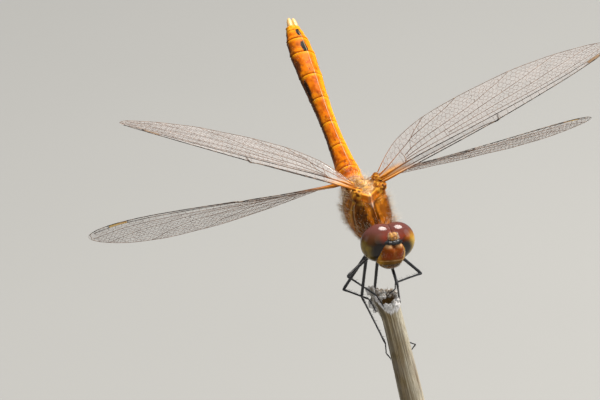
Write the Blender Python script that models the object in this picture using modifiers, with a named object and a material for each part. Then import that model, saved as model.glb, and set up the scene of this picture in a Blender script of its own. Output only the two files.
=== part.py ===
"""A male darter dragonfly at life size, perched on the broken top of a dead hollow stem.

The stem is a short cut length held by a plain display stand: a round base and one upright rod.
World frame: metres, +Z up, origin at the centre of the base's underside, dragonfly heading towards -Y.
Body frame (empty "dragonfly_pose"): x towards the head, y to the insect's left, z to its back.
Perch frame (empty "perch_axis"): origin on the stem's axis at the front of its rim, z up the stem.
Neighbouring pieces stop GAP short of each other, so that no two solids touch.
"""

from math import acos, cos, exp, pi, radians, sin, sqrt, tan

import bmesh
import bpy
from mathutils import Euler, Matrix, Vector

MM = 0.001
GAP = 0.06

# Display stand and perch, in millimetres.
BASE_RADIUS = 22.0
BASE_HEIGHT = 4.0
BASE_BEVEL = 0.7
ROD_RADIUS = 1.0
ROD_LENGTH = 12.0
PERCH_LENGTH = 25.0
PERCH_DOWN = Vector((0.232, 0.06, -1.0)).normalized()
PERCH_TOP_RADIUS = 0.95
PERCH_GROWTH = 0.013
PERCH_WALL = 0.28
PERCH_HOLLOW = 5.0
PERCH_SIDES = 24
# A strip of dead sheath runs down the stem's left side and peels away near the rim.
SHEATH_SIDE = 180
SHEATH_HALF_WIDTH = 38
SHEATH_CLOSE = 0.12
SHEATH_PEELED = 0.66
# The torn rim: how much it slopes up from front to back, its teeth as (height, count, phase)
# round the stem, and its flap.
RIM_TILT = 0.36
RIM_TEETH = ((0.07, 5, 1.0), (0.05, 9, 0.0))
FLAP_HEIGHT = 1.7
FLAP_SIDE = 183
FLAP_HALF_WIDTH = 36

# Where the thorax stands over the stem's rim, and how the body is turned.
THORAX_FROM_RIM = Vector((-2.13, 4.14, 8.44))
BODY_ROLL = radians(10)
BODY_PITCH = radians(7)
BODY_HEADING = radians(-72)

# Head, in millimetres, centred on HEAD_CENTRE of the body frame.
HEAD_CENTRE = Vector((5.6, 0.1, -1.5))
HEAD_ROLL = radians(-12)
HEAD_PITCH = radians(-5)
HEAD_YAW = radians(5)
HEAD_REAR = -1.15
SKULL = ((-0.25, 0.0, -0.2), (1.15, 2.15, 1.8))
EYE = ((-0.1, 0.85, 0.2), (1.5, 2.0, 1.96))
FRONS = ((0.95, 0.0, -0.42), (0.95, 1.5, 0.88))
MOUTH = ((0.7, 0.0, -1.4), (1.05, 1.55, 1.05))
VERTEX = ((0.95, 0.0, 1.1), (0.55, 0.6, 0.45))
ANTENNA_ROOT = Vector((1.62, 0.5, 0.55))
ANTENNA_TIP = Vector((2.15, 0.95, 1.55))
FEELER_RADIUS = 0.25

# Thorax stations along x: (x, half width, underside, back).
THORAX = (
    (3.8, 1.15, -2.55, -0.2),
    (3.45, 1.6, -2.85, 1.0),
    (3.0, 1.95, -2.95, 2.1),
    (2.5, 2.3, -3.0, 2.85),
    (1.6, 2.5, -3.0, 3.2),
    (0.5, 2.5, -3.0, 3.3),
    (-0.7, 2.4, -2.9, 3.15),
    (-1.7, 2.0, -2.5, 2.6),
    (-2.3, 1.55, -1.9, 1.7),
    (-2.62, 1.2, -1.25, 1.0),
)
PROTHORAX = (
    (4.33, 0.42, -2.05, -1.2),
    (4.15, 0.75, -2.3, -0.8),
    (3.86, 0.95, -2.5, -0.45),
)
THORAX_SIDES = 20
# The thorax's back is this share of its width, more so ahead of the wings, and its underside
# is narrowed by this share.
THORAX_SHOULDER = 0.57
THORAX_FRONT = 2.5
THORAX_FRONT_SHOULDER = 0.84
THORAX_KEEL = 0.3

# Abdomen: each segment's length, half width and height where it begins, in millimetres.
SEGMENTS = (
    ("S1", 0.7, 1.1, 1.9),
    ("S2", 1.7, 1.24, 2.2),
    ("S3", 3.2, 1.22, 2.1),
    ("S4", 3.2, 0.94, 1.6),
    ("S5", 3.2, 0.85, 1.45),
    ("S6", 3.1, 0.98, 1.6),
    ("S7", 2.95, 1.24, 1.75),
    ("S8", 1.92, 1.4, 1.75),
    ("S9", 1.2, 1.26, 1.55),
    ("S10", 0.73, 0.92, 1.2),
)
ABDOMEN_END = (0.55, 0.8)
ABDOMEN_START = Vector((-3.1, -0.15, 0.4))
ABDOMEN_RISE = (radians(21), radians(27))
ABDOMEN_VEER = (radians(-2), radians(-3.2))
ABDOMEN_SIDES = 14
# Its cross-section: share of the height above the centre line, how much of that is a straight
# roof, and how flat the belly is.
ABDOMEN_BACK = 0.58
ABDOMEN_ROOF = 0.25
ABDOMEN_BELLY = 0.6
CERCUS_LENGTH = 1.2
CERCUS_RADIUS = 0.25
CERCUS_SPREAD = 0.31

# Wings. Outlines are (share of span, share of span ahead of the hinge line).
WING_THICKNESS = 0.5
WING_STATIONS = 15
WING_STRIPS = 5
FOREWING_LEADING = (
    (0.0, 0.0), (0.05, 0.005), (0.48, 0.035), (0.75, 0.036),
    (0.88, 0.022), (0.95, 0.0), (0.985, -0.025), (1.0, -0.045),
)
FOREWING_TRAILING = (
    (0.0, -0.045), (0.06, -0.09), (0.12, -0.125), (0.22, -0.155), (0.35, -0.17),
    (0.65, -0.185), (0.8, -0.175), (0.9, -0.15), (0.96, -0.115), (1.0, -0.065),
)
HINDWING_LEADING = (
    (0.0, 0.0), (0.05, 0.005), (0.41, 0.035), (0.7, 0.036),
    (0.86, 0.018), (0.95, -0.01), (0.985, -0.035), (1.0, -0.055),
)
HINDWING_TRAILING = (
    (0.0, -0.04), (0.02, -0.118), (0.055, -0.206), (0.1, -0.255), (0.18, -0.274),
    (0.45, -0.257), (0.6, -0.24), (0.75, -0.213), (0.88, -0.168), (0.96, -0.122), (1.0, -0.078),
)
FOREWING_SPAN = 27.4
HINDWING_SPAN = 26.5
FOREWING_HINGE = Vector((1.83, 1.48, 3.34))
HINDWING_HINGE = Vector((-0.45, 1.76, 2.96))
# Each wing's forward sweep and rise, its pitch at hinge, middle and tip (trailing edge up),
# all in degrees, and how far the tip bends up, in millimetres.
WING_POSES = {
    "forewing_right": (4.4, 35.7, (11.9, 2.7, -15.3), -1.4),
    "forewing_left": (2.5, 21.3, (27.0, 11.4, -16.2), -1.35),
    "hindwing_right": (-16.4, -3.85, (-25.8, -48.9, -58.2), 0.2),
    "hindwing_left": (-13.9, -9.1, (-32.6, -35.8, -45.7), 0.7),
}

# Legs: hip in the body frame, and the lengths of thigh and shin, in millimetres.
LEG_RADIUS = 0.25
HIP_RADIUS = 0.29
KNEE_BEND_RADIUS = 0.28
HIP_SHARE = 0.12
HIPS = {"fore": (3.15, 0.5, -3.32), "mid": (2.1, 0.62, -3.36), "hind": (0.95, 0.62, -3.32)}
THIGH = {"fore": 4.5, "mid": 5.6, "hind": 6.9}
SHIN = {"fore": 3.5, "mid": 4.2, "hind": 6.3}
# Which way each knee points in the body frame.
KNEE_POLES = {
    "fore_right": (0.1, -0.9, 0.4), "fore_left": (0.9, -0.2, 0.4),
    "mid_right": (-0.8, -0.45, -0.4), "mid_left": (-0.45, 0.705, -0.3),
    "hind_right": (-0.9, -0.15, -0.45), "hind_left": (-0.81, -0.38, -0.45),
}
# Ankle, then the foot's points, in the perch frame: (height, degrees round the stem, distance
# from its axis).
FOOT_HOLDS = {
    "fore_right": ((1.2, -138, 1.62), (0.5, -130, 1.42), (-0.25, -118, 1.36)),
    "fore_left": ((-0.8, 30, 1.36), (-1.5, 55, 1.36), (-2.0, 82, 1.38)),
    "mid_right": ((0.8, -165, 2.2), (0.2, -160, 2.0), (-0.6, -158, 1.84)),
    "mid_left": ((1.2, 50, 1.6), (1.05, -2, 1.0), (0.85, -40, 0.5), (0.45, 180, 0.1)),
    "hind_right": ((-4.6, 179, 1.62), (-5.7, 176, 1.78), (-6.5, 160, 1.6)),
    "hind_left": ((-5.4, 52, 1.38), (-5.85, 36, 1.68), (-6.25, 45, 1.38)),
}


def metres(point):
    return Vector(point) * MM


def material(name, colour, roughness, metallic=0.0, alpha=1.0):
    """A plain Principled material, made once for each name."""
    made = bpy.data.materials.get(name)
    if made is None:
        made = bpy.data.materials.new(name)
        made.use_nodes = True
        shader = made.node_tree.nodes["Principled BSDF"]
        shader.inputs["Base Color"].default_value = (*colour, 1.0)
        shader.inputs["Roughness"].default_value = roughness
        shader.inputs["Metallic"].default_value = metallic
        shader.inputs["Alpha"].default_value = alpha
    return made


def straw():
    return material("dead_straw", (0.55, 0.47, 0.33), 0.75)


def orange_cuticle():
    return material("orange_cuticle", (0.75, 0.28, 0.03), 0.4)


def ochre_cuticle():
    return material("ochre_cuticle", (0.45, 0.22, 0.04), 0.5)


def black_cuticle():
    return material("black_cuticle", (0.02, 0.02, 0.022), 0.35)


def eye_surface():
    return material("red_brown_eye", (0.25, 0.05, 0.02), 0.15)


def face_surface():
    return material("amber_face", (0.6, 0.25, 0.04), 0.35)


def wing_film():
    return material("clear_wing", (0.75, 0.7, 0.6), 0.2, alpha=0.4)


def collection(name):
    """A collection linked under the scene."""
    made = bpy.data.collections.new(name)
    bpy.context.scene.collection.children.link(made)
    return made


def place(name, mesh, surface, parent=None, smooth=True):
    """Makes a named part from a mesh, gives it its material and hangs it on its parent."""
    part = bpy.data.objects.new(name, mesh)
    mesh.materials.clear()
    mesh.materials.append(surface)
    if smooth:
        mesh.shade_smooth()
        mesh.set_sharp_from_angle(angle=radians(40))
    part.parent = parent
    PARTS.objects.link(part)
    return part


def frame_empty(name, matrix, parent=None):
    """An empty that carries a group of parts."""
    empty = bpy.data.objects.new(name, None)
    empty.empty_display_size = 2 * MM
    empty.parent = parent
    empty.matrix_local = matrix
    PARTS.objects.link(empty)
    return empty


def mesh_from(name, build):
    """Runs build(bmesh) and returns the mesh with its faces pointing out."""
    shape = bmesh.new()
    build(shape)
    bmesh.ops.recalc_face_normals(shape, faces=shape.faces[:])
    mesh = bpy.data.meshes.new(name)
    shape.to_mesh(mesh)
    shape.free()
    return mesh


def loft(name, rings):
    """A closed skin through rings of points in millimetres, capped at both ends."""

    def build(shape):
        rows = [[shape.verts.new(metres(point)) for point in ring] for ring in rings]
        sides = len(rows[0])
        for lower, upper in zip(rows, rows[1:]):
            for i in range(sides):
                j = (i + 1) % sides
                shape.faces.new((lower[i], lower[j], upper[j], upper[i]))
        shape.faces.new(rows[0])
        shape.faces.new(rows[-1])

    return mesh_from(name, build)


def smooth_along(profile, at):
    """Reads a profile of (position, value) pairs as a smooth curve through its points."""
    last = len(profile) - 1
    i = next((k for k in range(last) if at <= profile[k + 1][0]), last - 1)
    x0, y0 = profile[i]
    x1, y1 = profile[i + 1]
    slope = (y1 - y0) / (x1 - x0)
    before = profile[max(i - 1, 0)]
    after = profile[min(i + 2, last)]
    tangent0 = (y1 - before[1]) / (x1 - before[0]) if i else slope
    tangent1 = (after[1] - y0) / (after[0] - x0) if i + 1 < last else slope
    width = x1 - x0
    t = (at - x0) / width
    return (
        y0 * (1 + 2 * t) * (1 - t) ** 2
        + y1 * t * t * (3 - 2 * t)
        + width * tangent0 * t * (1 - t) ** 2
        + width * tangent1 * t * t * (t - 1)
    )


def ellipsoid(name, centre, radii, segments=20, rings=12):
    """An ellipsoid mesh from a unit sphere, its poles at the top and bottom."""

    def build(shape):
        bmesh.ops.create_uvsphere(shape, u_segments=segments, v_segments=rings, radius=1.0)
        size = Matrix.Diagonal((*metres(radii), 1.0))
        bmesh.ops.transform(shape, matrix=Matrix.Translation(metres(centre)) @ size, verts=shape.verts)

    return mesh_from(name, build)


def trim(mesh, point, normal):
    """Cuts away what lies beyond a plane and closes the cut flat."""
    shape = bmesh.new()
    shape.from_mesh(mesh)
    cut = bmesh.ops.bisect_plane(
        shape, geom=shape.verts[:] + shape.edges[:] + shape.faces[:], dist=1e-9,
        plane_co=metres(point), plane_no=normal, clear_outer=True,
    )
    edges = [e for e in cut["geom_cut"] if isinstance(e, bmesh.types.BMEdge)]
    bmesh.ops.edgenet_fill(shape, edges=edges)
    bmesh.ops.recalc_face_normals(shape, faces=shape.faces[:])
    shape.to_mesh(mesh)
    shape.free()


def grown(ellipsoid_size):
    """The same ellipsoid, larger by the gap between pieces."""
    centre, radii = ellipsoid_size
    return centre, tuple(r + GAP for r in radii)


def mirrored(size):
    centre, radii = size
    return (centre[0], -centre[1], centre[2]), radii


def cut_with(part, cutters):
    """Takes the cutters' shapes out of a part."""
    for cutter in cutters:
        cut = part.modifiers.new(f"clear_of_{cutter.name}", "BOOLEAN")
        cut.operation = "DIFFERENCE"
        cut.solver = "EXACT"
        cut.object = cutter


def cutter(name, size, parent):
    """A wire-drawn ellipsoid that is only used to cut other parts."""
    made = bpy.data.objects.new(name, ellipsoid(name, *grown(size)))
    made.parent = parent
    made.hide_render = True
    made.display_type = "WIRE"
    CUTTERS.objects.link(made)
    return made


def tube(name, points, radii, parent, surface):
    """A round limb along points in millimetres, as a curve with filled caps."""
    curve = bpy.data.curves.new(name, "CURVE")
    curve.dimensions = "3D"
    curve.bevel_depth = MM
    curve.bevel_resolution = 2
    curve.use_fill_caps = True
    spline = curve.splines.new("POLY")
    spline.points.add(len(points) - 1)
    for knot, point, radius in zip(spline.points, points, radii):
        knot.co = (*metres(point), 1.0)
        knot.radius = radius
    limb = bpy.data.objects.new(name, curve)
    curve.materials.append(surface)
    limb.parent = parent
    PARTS.objects.link(limb)
    return limb


def bend_reach(before, corner, after, radius):
    """How far each side of a corner its rounding starts."""
    a = (before - corner).normalized()
    b = (after - corner).normalized()
    return radius / tan(acos(max(-1.0, min(1.0, a.dot(b)))) / 2)


def rounded_corner(before, corner, after, radius, steps=6):
    """Points of the arc that rounds a corner, from the first side to the second."""
    a = (before - corner).normalized()
    b = (after - corner).normalized()
    reach = bend_reach(before, corner, after, radius)
    half = acos(max(-1.0, min(1.0, a.dot(b)))) / 2
    centre = corner + (a + b).normalized() * (radius / sin(half))
    start = corner + a * reach - centre
    end = corner + b * reach - centre
    sweep = pi - 2 * half
    return [
        centre + (start * sin((1 - t) * sweep) + end * sin(t * sweep)) / sin(sweep)
        for t in (i / steps for i in range(steps + 1))
    ]


def stand():
    """The flat round base and the upright rod that the perch stands on."""
    bpy.ops.mesh.primitive_cylinder_add(
        vertices=64, radius=BASE_RADIUS * MM, depth=BASE_HEIGHT * MM, location=(0, 0, BASE_HEIGHT * MM / 2)
    )
    base = take_primitive("stand_base", material("stand_base_lacquer", (0.05, 0.045, 0.04), 0.35))
    rim = base.modifiers.new("rounded_rim", "BEVEL")
    rim.width = BASE_BEVEL * MM
    rim.segments = 2
    rod_height = ROD_LENGTH - GAP
    bpy.ops.mesh.primitive_cylinder_add(
        vertices=20, radius=ROD_RADIUS * MM, depth=rod_height * MM,
        location=(0, 0, (BASE_HEIGHT + GAP + rod_height / 2) * MM),
    )
    take_primitive("stand_rod", material("stand_rod_steel", (0.6, 0.6, 0.6), 0.3, 1.0))


def take_primitive(name, surface):
    """Names the primitive just added and moves it to the parts' collection."""
    part = bpy.context.object
    part.name = name
    part.data.name = name
    part.data.materials.append(surface)
    part.data.shade_smooth()
    part.data.set_sharp_from_angle(angle=radians(40))
    for owner in part.users_collection:
        owner.objects.unlink(part)
    PARTS.objects.link(part)
    return part


def bump(at, middle, width):
    """A smooth hump: 1 at its middle, falling away to both sides."""
    return exp(-(((at - middle) / width) ** 2))


def angle_from(angle, middle):
    """The angle in degrees between two directions round the stem, from -180 to 180."""
    return (angle - middle + 180) % 360 - 180


def perch_radius(height, angle):
    """The stem's outer radius, with the strip of dead sheath that stands off its left side."""
    stand_off = SHEATH_CLOSE + SHEATH_PEELED * bump(height, 0.3, 1.3) + 0.1 * bump(height, -12, 5)
    sheath = stand_off * bump(angle_from(angle, SHEATH_SIDE), 0, SHEATH_HALF_WIDTH)
    return PERCH_TOP_RADIUS + PERCH_GROWTH * max(0.0, -height) + sheath


def rim_height(angle):
    """The torn edge of the stem: low in front, higher behind, with a tall flap on the left."""
    turn = radians(angle)
    flap = FLAP_HEIGHT * bump(angle_from(angle, FLAP_SIDE), 0, FLAP_HALF_WIDTH)
    teeth = sum(height * sin(count * turn + phase) for height, count, phase in RIM_TEETH)
    return RIM_TILT * sin(turn) + flap + teeth


def perch(axis):
    """The cut length of dead stem: hollow and torn at the top, cut level at the bottom."""
    turns = [360 * i / PERCH_SIDES for i in range(PERCH_SIDES)]
    tilt = axis.matrix_world.to_3x3().normalized()
    up = tilt @ Vector((0, 0, 1))

    def ring(radius_at, height_at):
        points = []
        for turn in turns:
            height = height_at(turn)
            radius = radius_at(height, turn)
            points.append(Vector((radius * cos(radians(turn)), radius * sin(radians(turn)), height)))
        return points

    def level(turn):
        radius = perch_radius(-PERCH_LENGTH, turn)
        side = tilt @ Vector((cos(radians(turn)), sin(radians(turn)), 0))
        return -PERCH_LENGTH - radius * side.z / up.z

    def inner(height, turn):
        return perch_radius(height, turn) - PERCH_WALL

    rings = [ring(perch_radius, level)]
    rings += [ring(perch_radius, lambda turn, h=h: h) for h in (-20, -15, -10, -6, -3.5, -2, -1)]
    rings += [ring(perch_radius, rim_height), ring(inner, rim_height)]
    rings += [ring(inner, lambda turn, h=h: h) for h in (-1, -2.5)]
    rings += [ring(lambda h, turn: PERCH_TOP_RADIUS * 0.5, lambda turn: -PERCH_HOLLOW)]
    place("perch", loft("perch", rings), straw(), axis)


def body_section(x, half_width, low, high, shoulder=THORAX_SHOULDER):
    """A cross-section of the thorax, widest at mid height with a narrower flat back."""
    middle = (low + high) / 2
    half_height = (high - low) / 2
    points = []
    for i in range(THORAX_SIDES):
        turn = 2 * pi * i / THORAX_SIDES
        across = abs(cos(turn)) ** 0.75 * (1 if cos(turn) > 0 else -1)
        up = abs(sin(turn)) ** 0.8 * (1 if sin(turn) > 0 else -1)
        narrowing = 1 - (1 - shoulder) * max(0.0, up) ** 2 - THORAX_KEEL * max(0.0, -up) ** 2
        points.append(Vector((x, half_width * across * narrowing, middle + half_height * up)))
    return points


def trunk(body):
    """Thorax and the small prothorax between it and the head."""
    sections = []
    for row in THORAX:
        shoulder = THORAX_FRONT_SHOULDER if row[0] >= THORAX_FRONT else THORAX_SHOULDER
        sections.append(body_section(*row, shoulder=shoulder))
    place("thorax", loft("thorax", sections), ochre_cuticle(), body)
    collar = [body_section(*row, shoulder=0.8) for row in PROTHORAX]
    place("prothorax", loft("prothorax", collar), ochre_cuticle(), body)


def abdomen_frame(distance):
    """Centre line of the abdomen: the place and axes at a distance along it."""
    total = sum(length for _, length, _, _ in SEGMENTS)
    spot = ABDOMEN_START.copy()
    steps = 40
    for i in range(steps):
        share = distance * (i + 0.5) / steps / total
        spot += abdomen_direction(share) * distance / steps
    along = abdomen_direction(distance / total)
    side = Vector((0, 0, 1)).cross(along).normalized()
    return spot, along, side, along.cross(side)


def abdomen_direction(share):
    rise = ABDOMEN_RISE[0] + (ABDOMEN_RISE[1] - ABDOMEN_RISE[0]) * share
    veer = ABDOMEN_VEER[0] + (ABDOMEN_VEER[1] - ABDOMEN_VEER[0]) * share
    return Vector((-cos(rise) * cos(veer), -sin(veer), sin(rise) * cos(veer)))


def abdomen_ring(distance, half_width, height):
    """A roof-shaped cross-section: a ridge along the back, full sides and a flat belly."""
    spot, _, side, up = abdomen_frame(distance)
    points = []
    for i in range(ABDOMEN_SIDES):
        turn = 2 * pi * i / ABDOMEN_SIDES
        across = half_width * cos(turn)
        if sin(turn) >= 0:
            arch = (1 - ABDOMEN_ROOF) * sin(turn) + ABDOMEN_ROOF * (1 - abs(cos(turn)))
            lift = ABDOMEN_BACK * height * arch
        else:
            lift = -(1 - ABDOMEN_BACK) * height * abs(sin(turn)) ** ABDOMEN_BELLY
        points.append(spot + side * across + up * lift)
    return points


def abdomen(body):
    """Ten tapering segments, each its own node, and the two claspers."""
    ends = [(width, height) for _, _, width, height in SEGMENTS[1:]] + [ABDOMEN_END]
    distance = 0.0
    for (name, length, width, height), (next_width, next_height) in zip(SEGMENTS, ends):
        rings = []
        for share, swell in ((0.0, 0.95), (0.12, 1.0), (0.5, 1.0), (0.88, 1.015), (1.0, 0.97)):
            at = GAP / 2 + (length - GAP) * share
            ring_width = (width + (next_width - width) * share) * swell
            ring_height = (height + (next_height - height) * share) * swell
            rings.append(abdomen_ring(distance + at, ring_width, ring_height))
        part_name = f"abdomen_{name}"
        place(part_name, loft(part_name, rings), orange_cuticle(), body)
        distance += length
    spot, along, side, up = abdomen_frame(distance + GAP)
    for label, sign in (("left", -1), ("right", 1)):
        root = spot + side * sign * CERCUS_SPREAD + along * CERCUS_RADIUS * 0.2
        middle = root + along * CERCUS_LENGTH * 0.55 + up * 0.05
        tip = root + along * CERCUS_LENGTH + up * 0.3
        radii = (CERCUS_RADIUS, CERCUS_RADIUS, CERCUS_RADIUS * 0.6)
        tube(f"cercus_{label}", (root, middle, tip), radii, body, orange_cuticle())


def head(body):
    """Skull, the two great eyes that cap it, brow, forehead, mouthparts and feelers."""
    turn = Euler((HEAD_ROLL, HEAD_PITCH, HEAD_YAW)).to_matrix().to_4x4()
    pose = frame_empty("head_pose", Matrix.Translation(metres(HEAD_CENTRE)) @ turn, body)
    rear = Vector((-1, 0, 0))
    skull_cutter = cutter("skull_room", SKULL, pose)
    frons_cutter = cutter("frons_room", FRONS, pose)
    mouth_cutter = cutter("mouth_room", MOUTH, pose)
    vertex_cutter = cutter("vertex_room", VERTEX, pose)

    skull_mesh = ellipsoid("skull", *SKULL)
    trim(skull_mesh, (HEAD_REAR, 0, 0), rear)
    place("head", skull_mesh, ochre_cuticle(), pose)

    for label, size, inward in (("left", EYE, -1), ("right", mirrored(EYE), 1)):
        name = f"eye_{label}"
        mesh = ellipsoid(name, *size, segments=24, rings=14)
        trim(mesh, (HEAD_REAR + 0.05, 0, 0), rear)
        trim(mesh, (0, -inward * GAP / 2, 0), Vector((0, inward, 0)))
        eye = place(name, mesh, eye_surface(), pose)
        cut_with(eye, (skull_cutter, frons_cutter, mouth_cutter, vertex_cutter))

    mouth = place("mouth", ellipsoid("mouth", *MOUTH), face_surface(), pose)
    cut_with(mouth, (skull_cutter,))
    frons = place("frons", ellipsoid("frons", *FRONS), face_surface(), pose)
    cut_with(frons, (skull_cutter, mouth_cutter))
    vertex = place("vertex", ellipsoid("vertex", *VERTEX, segments=16, rings=10), face_surface(), pose)
    cut_with(vertex, (skull_cutter, frons_cutter))

    for label, sign in (("left", 1), ("right", -1)):
        root = Vector((ANTENNA_ROOT.x, sign * ANTENNA_ROOT.y, ANTENNA_ROOT.z))
        tip = Vector((ANTENNA_TIP.x, sign * ANTENNA_TIP.y, ANTENNA_TIP.z))
        radii = (FEELER_RADIUS, FEELER_RADIUS)
        tube(f"antenna_{label}", (root, tip), radii, pose, black_cuticle())


def wing_point(name, span, hinge, share, ahead):
    """A point of a wing's mid surface, at a share of the span and a distance ahead of its axis."""
    sweep, rise, (root_pitch, mid_pitch, tip_pitch), tip_lift = WING_POSES[name]
    side = 1 if name.endswith("left") else -1
    sweep, rise = radians(sweep), radians(rise)
    out = Vector((sin(sweep) * cos(rise), side * cos(sweep) * cos(rise), sin(rise)))
    back = Vector((-1, 0, 0))
    back = (back - out * back.dot(out)).normalized()
    up = out.cross(back)
    if up.z < 0:
        up = -up
    pitch = radians(
        root_pitch * (1 - share) ** 2 + 2 * mid_pitch * share * (1 - share) + tip_pitch * share**2
    )
    chord = back * cos(pitch) + up * sin(pitch)
    lift = Vector((0, 0, tip_lift * share**2))
    return Vector((hinge.x, side * hinge.y, hinge.z)) + out * span * share + lift - chord * ahead * span


def wing(name, span, hinge, leading, trailing, body):
    """One wing: a twisted sheet between its leading and trailing edge, given its thickness.

    Its stations stand closer together at the root and the tip, where the outline turns.
    """

    def build(shape):
        rows = []
        for i in range(WING_STATIONS):
            share = (1 - cos(pi * i / (WING_STATIONS - 1))) / 2
            front = smooth_along(leading, share)
            rear = smooth_along(trailing, share)
            row = []
            for j in range(WING_STRIPS + 1):
                ahead = front + (rear - front) * j / WING_STRIPS
                row.append(shape.verts.new(metres(wing_point(name, span, hinge, share, ahead))))
            rows.append(row)
        for near, far in zip(rows, rows[1:]):
            for j in range(WING_STRIPS):
                shape.faces.new((near[j], near[j + 1], far[j + 1], far[j]))

    part = place(name, mesh_from(name, build), wing_film(), body)
    sheet = part.modifiers.new("sheet_thickness", "SOLIDIFY")
    sheet.thickness = WING_THICKNESS * MM
    sheet.offset = 0.0


def wings(body):
    for side in ("left", "right"):
        wing(f"forewing_{side}", FOREWING_SPAN, FOREWING_HINGE, FOREWING_LEADING, FOREWING_TRAILING, body)
        wing(f"hindwing_{side}", HINDWING_SPAN, HINDWING_HINGE, HINDWING_LEADING, HINDWING_TRAILING, body)


def perch_point(hold):
    height, turn, distance = hold
    return Vector((distance * cos(radians(turn)), distance * sin(radians(turn)), height))


def knee_between(hip, ankle, thigh, shin, pole):
    """The knee of a two-part limb whose ends are held, bent towards the pole direction."""
    reach = ankle - hip
    length = reach.length
    along = reach / length
    before = (thigh**2 - shin**2 + length**2) / (2 * length)
    height = sqrt(max(thigh**2 - before**2, 0.0))
    outward = (pole - along * pole.dot(along)).normalized()
    return hip + along * before + outward * height


def leg(pair, side, body_to_perch, axis):
    """A leg in three nodes, built in the perch frame: thigh with hip, shin, and foot."""
    name = f"{pair}_{side}"
    mirror = 1 if side == "left" else -1
    x, y, z = HIPS[pair]
    hip = body_to_perch @ Vector((x, mirror * y, z))
    pole = body_to_perch.to_3x3() @ Vector(KNEE_POLES[name])
    ankle, *foot = [perch_point(hold) for hold in FOOT_HOLDS[name]]
    knee = knee_between(hip, ankle, THIGH[pair], SHIN[pair], pole)

    knee_arc = rounded_corner(hip, knee, ankle, KNEE_BEND_RADIUS)
    thigh_points = [hip, hip.lerp(knee, HIP_SHARE), *knee_arc]
    thigh_radii = [HIP_RADIUS, HIP_RADIUS] + [LEG_RADIUS] * len(knee_arc)
    tube(f"leg_{name}_femur", thigh_points, thigh_radii, axis, black_cuticle())

    ankle_arc = rounded_corner(knee, ankle, foot[0], KNEE_BEND_RADIUS, steps=4)
    shin_start = knee_arc[-1] + (ankle - knee).normalized() * GAP
    shin_end = ankle_arc[0] + (knee - ankle).normalized() * GAP
    tube(f"leg_{name}_tibia", [shin_start, shin_end], [LEG_RADIUS] * 2, axis, black_cuticle())
    foot_points = ankle_arc + foot
    tube(f"leg_{name}_tarsus", foot_points, [LEG_RADIUS] * len(foot_points), axis, black_cuticle())


def legs(body, axis):
    body_matrix = body.matrix_world
    perch_matrix = axis.matrix_world
    # Both frames work in millimetres here, so their places are scaled up from metres.
    body_mm = Matrix.Translation(body_matrix.translation / MM) @ body_matrix.to_3x3().to_4x4()
    perch_mm = Matrix.Translation(perch_matrix.translation / MM) @ perch_matrix.to_3x3().to_4x4()
    body_to_perch = perch_mm.inverted() @ body_mm
    for pair in ("fore", "mid", "hind"):
        for side in ("left", "right"):
            leg(pair, side, body_to_perch, axis)


def perch_matrix():
    """The perch frame: z up the stem, x as near to the world's x as it can be."""
    up = -PERCH_DOWN
    across = (Vector((1, 0, 0)) - up * up.x).normalized()
    away = up.cross(across)
    foot = Vector((0, 0, BASE_HEIGHT + ROD_LENGTH + GAP))
    rim = foot + up * PERCH_LENGTH
    turn = Matrix((across, away, up)).transposed().to_4x4()
    return Matrix.Translation(metres(rim)) @ turn


def main():
    stand()
    axis = frame_empty("perch_axis", perch_matrix())
    place_matrix = Matrix.Translation(perch_matrix().translation + metres(THORAX_FROM_RIM))
    heading = Euler((BODY_ROLL, BODY_PITCH, BODY_HEADING)).to_matrix().to_4x4()
    body = frame_empty("dragonfly_pose", place_matrix @ heading)
    bpy.context.view_layer.update()
    perch(axis)
    trunk(body)
    abdomen(body)
    head(body)
    wings(body)
    legs(body, axis)


for leftover in list(bpy.data.objects):
    bpy.data.objects.remove(leftover)
PARTS = collection("darter_dragonfly")
CUTTERS = collection("cutters")
main()
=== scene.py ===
import random
from math import atan2, cos, degrees, exp, hypot, pi, radians, sin, sqrt

import bpy
from mathutils import Euler, Matrix, Vector, noise


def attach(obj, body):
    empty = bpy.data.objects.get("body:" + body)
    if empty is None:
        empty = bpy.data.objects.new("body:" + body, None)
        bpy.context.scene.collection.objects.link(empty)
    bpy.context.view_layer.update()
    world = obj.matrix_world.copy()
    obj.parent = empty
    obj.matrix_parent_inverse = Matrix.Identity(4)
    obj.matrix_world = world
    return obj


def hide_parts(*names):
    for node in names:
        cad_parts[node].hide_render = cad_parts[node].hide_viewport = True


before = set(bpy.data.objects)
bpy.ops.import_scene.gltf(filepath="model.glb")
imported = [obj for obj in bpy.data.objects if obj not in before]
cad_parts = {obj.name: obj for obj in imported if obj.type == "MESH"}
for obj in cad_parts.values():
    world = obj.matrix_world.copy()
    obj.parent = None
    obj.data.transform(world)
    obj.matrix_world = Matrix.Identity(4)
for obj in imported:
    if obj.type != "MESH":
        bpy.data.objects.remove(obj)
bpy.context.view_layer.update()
bpy.ops.object.select_all(action="DESELECT")

# Display base: a low round plinth of turned hardwood, lacquered nearly black, with a groove
# turned in its top near the edge and a felt pad let into its underside.
MM = 0.001
BASE_RADIUS = 22.0
BASE_HEIGHT = 4.0
BASE_FACETS = 160
BASE_EDGE = 0.7
BASE_FOOT_EDGE = 0.25
GROOVE_INSET = 2.6
GROOVE_WIDTH = 0.55
GROOVE_DEPTH = 0.22
FELT_INSET = 1.6
FELT_RECESS = 0.12
FELT_BORDER = 0.3
SOCKET_RADIUS = 1.02
SOCKET_DEPTH = 1.0
CREASE = radians(35)
LACQUER = (0.016, 0.011, 0.008)
LACQUER_GRAIN = (0.055, 0.026, 0.013)
FELT = (0.03, 0.034, 0.03)


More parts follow.
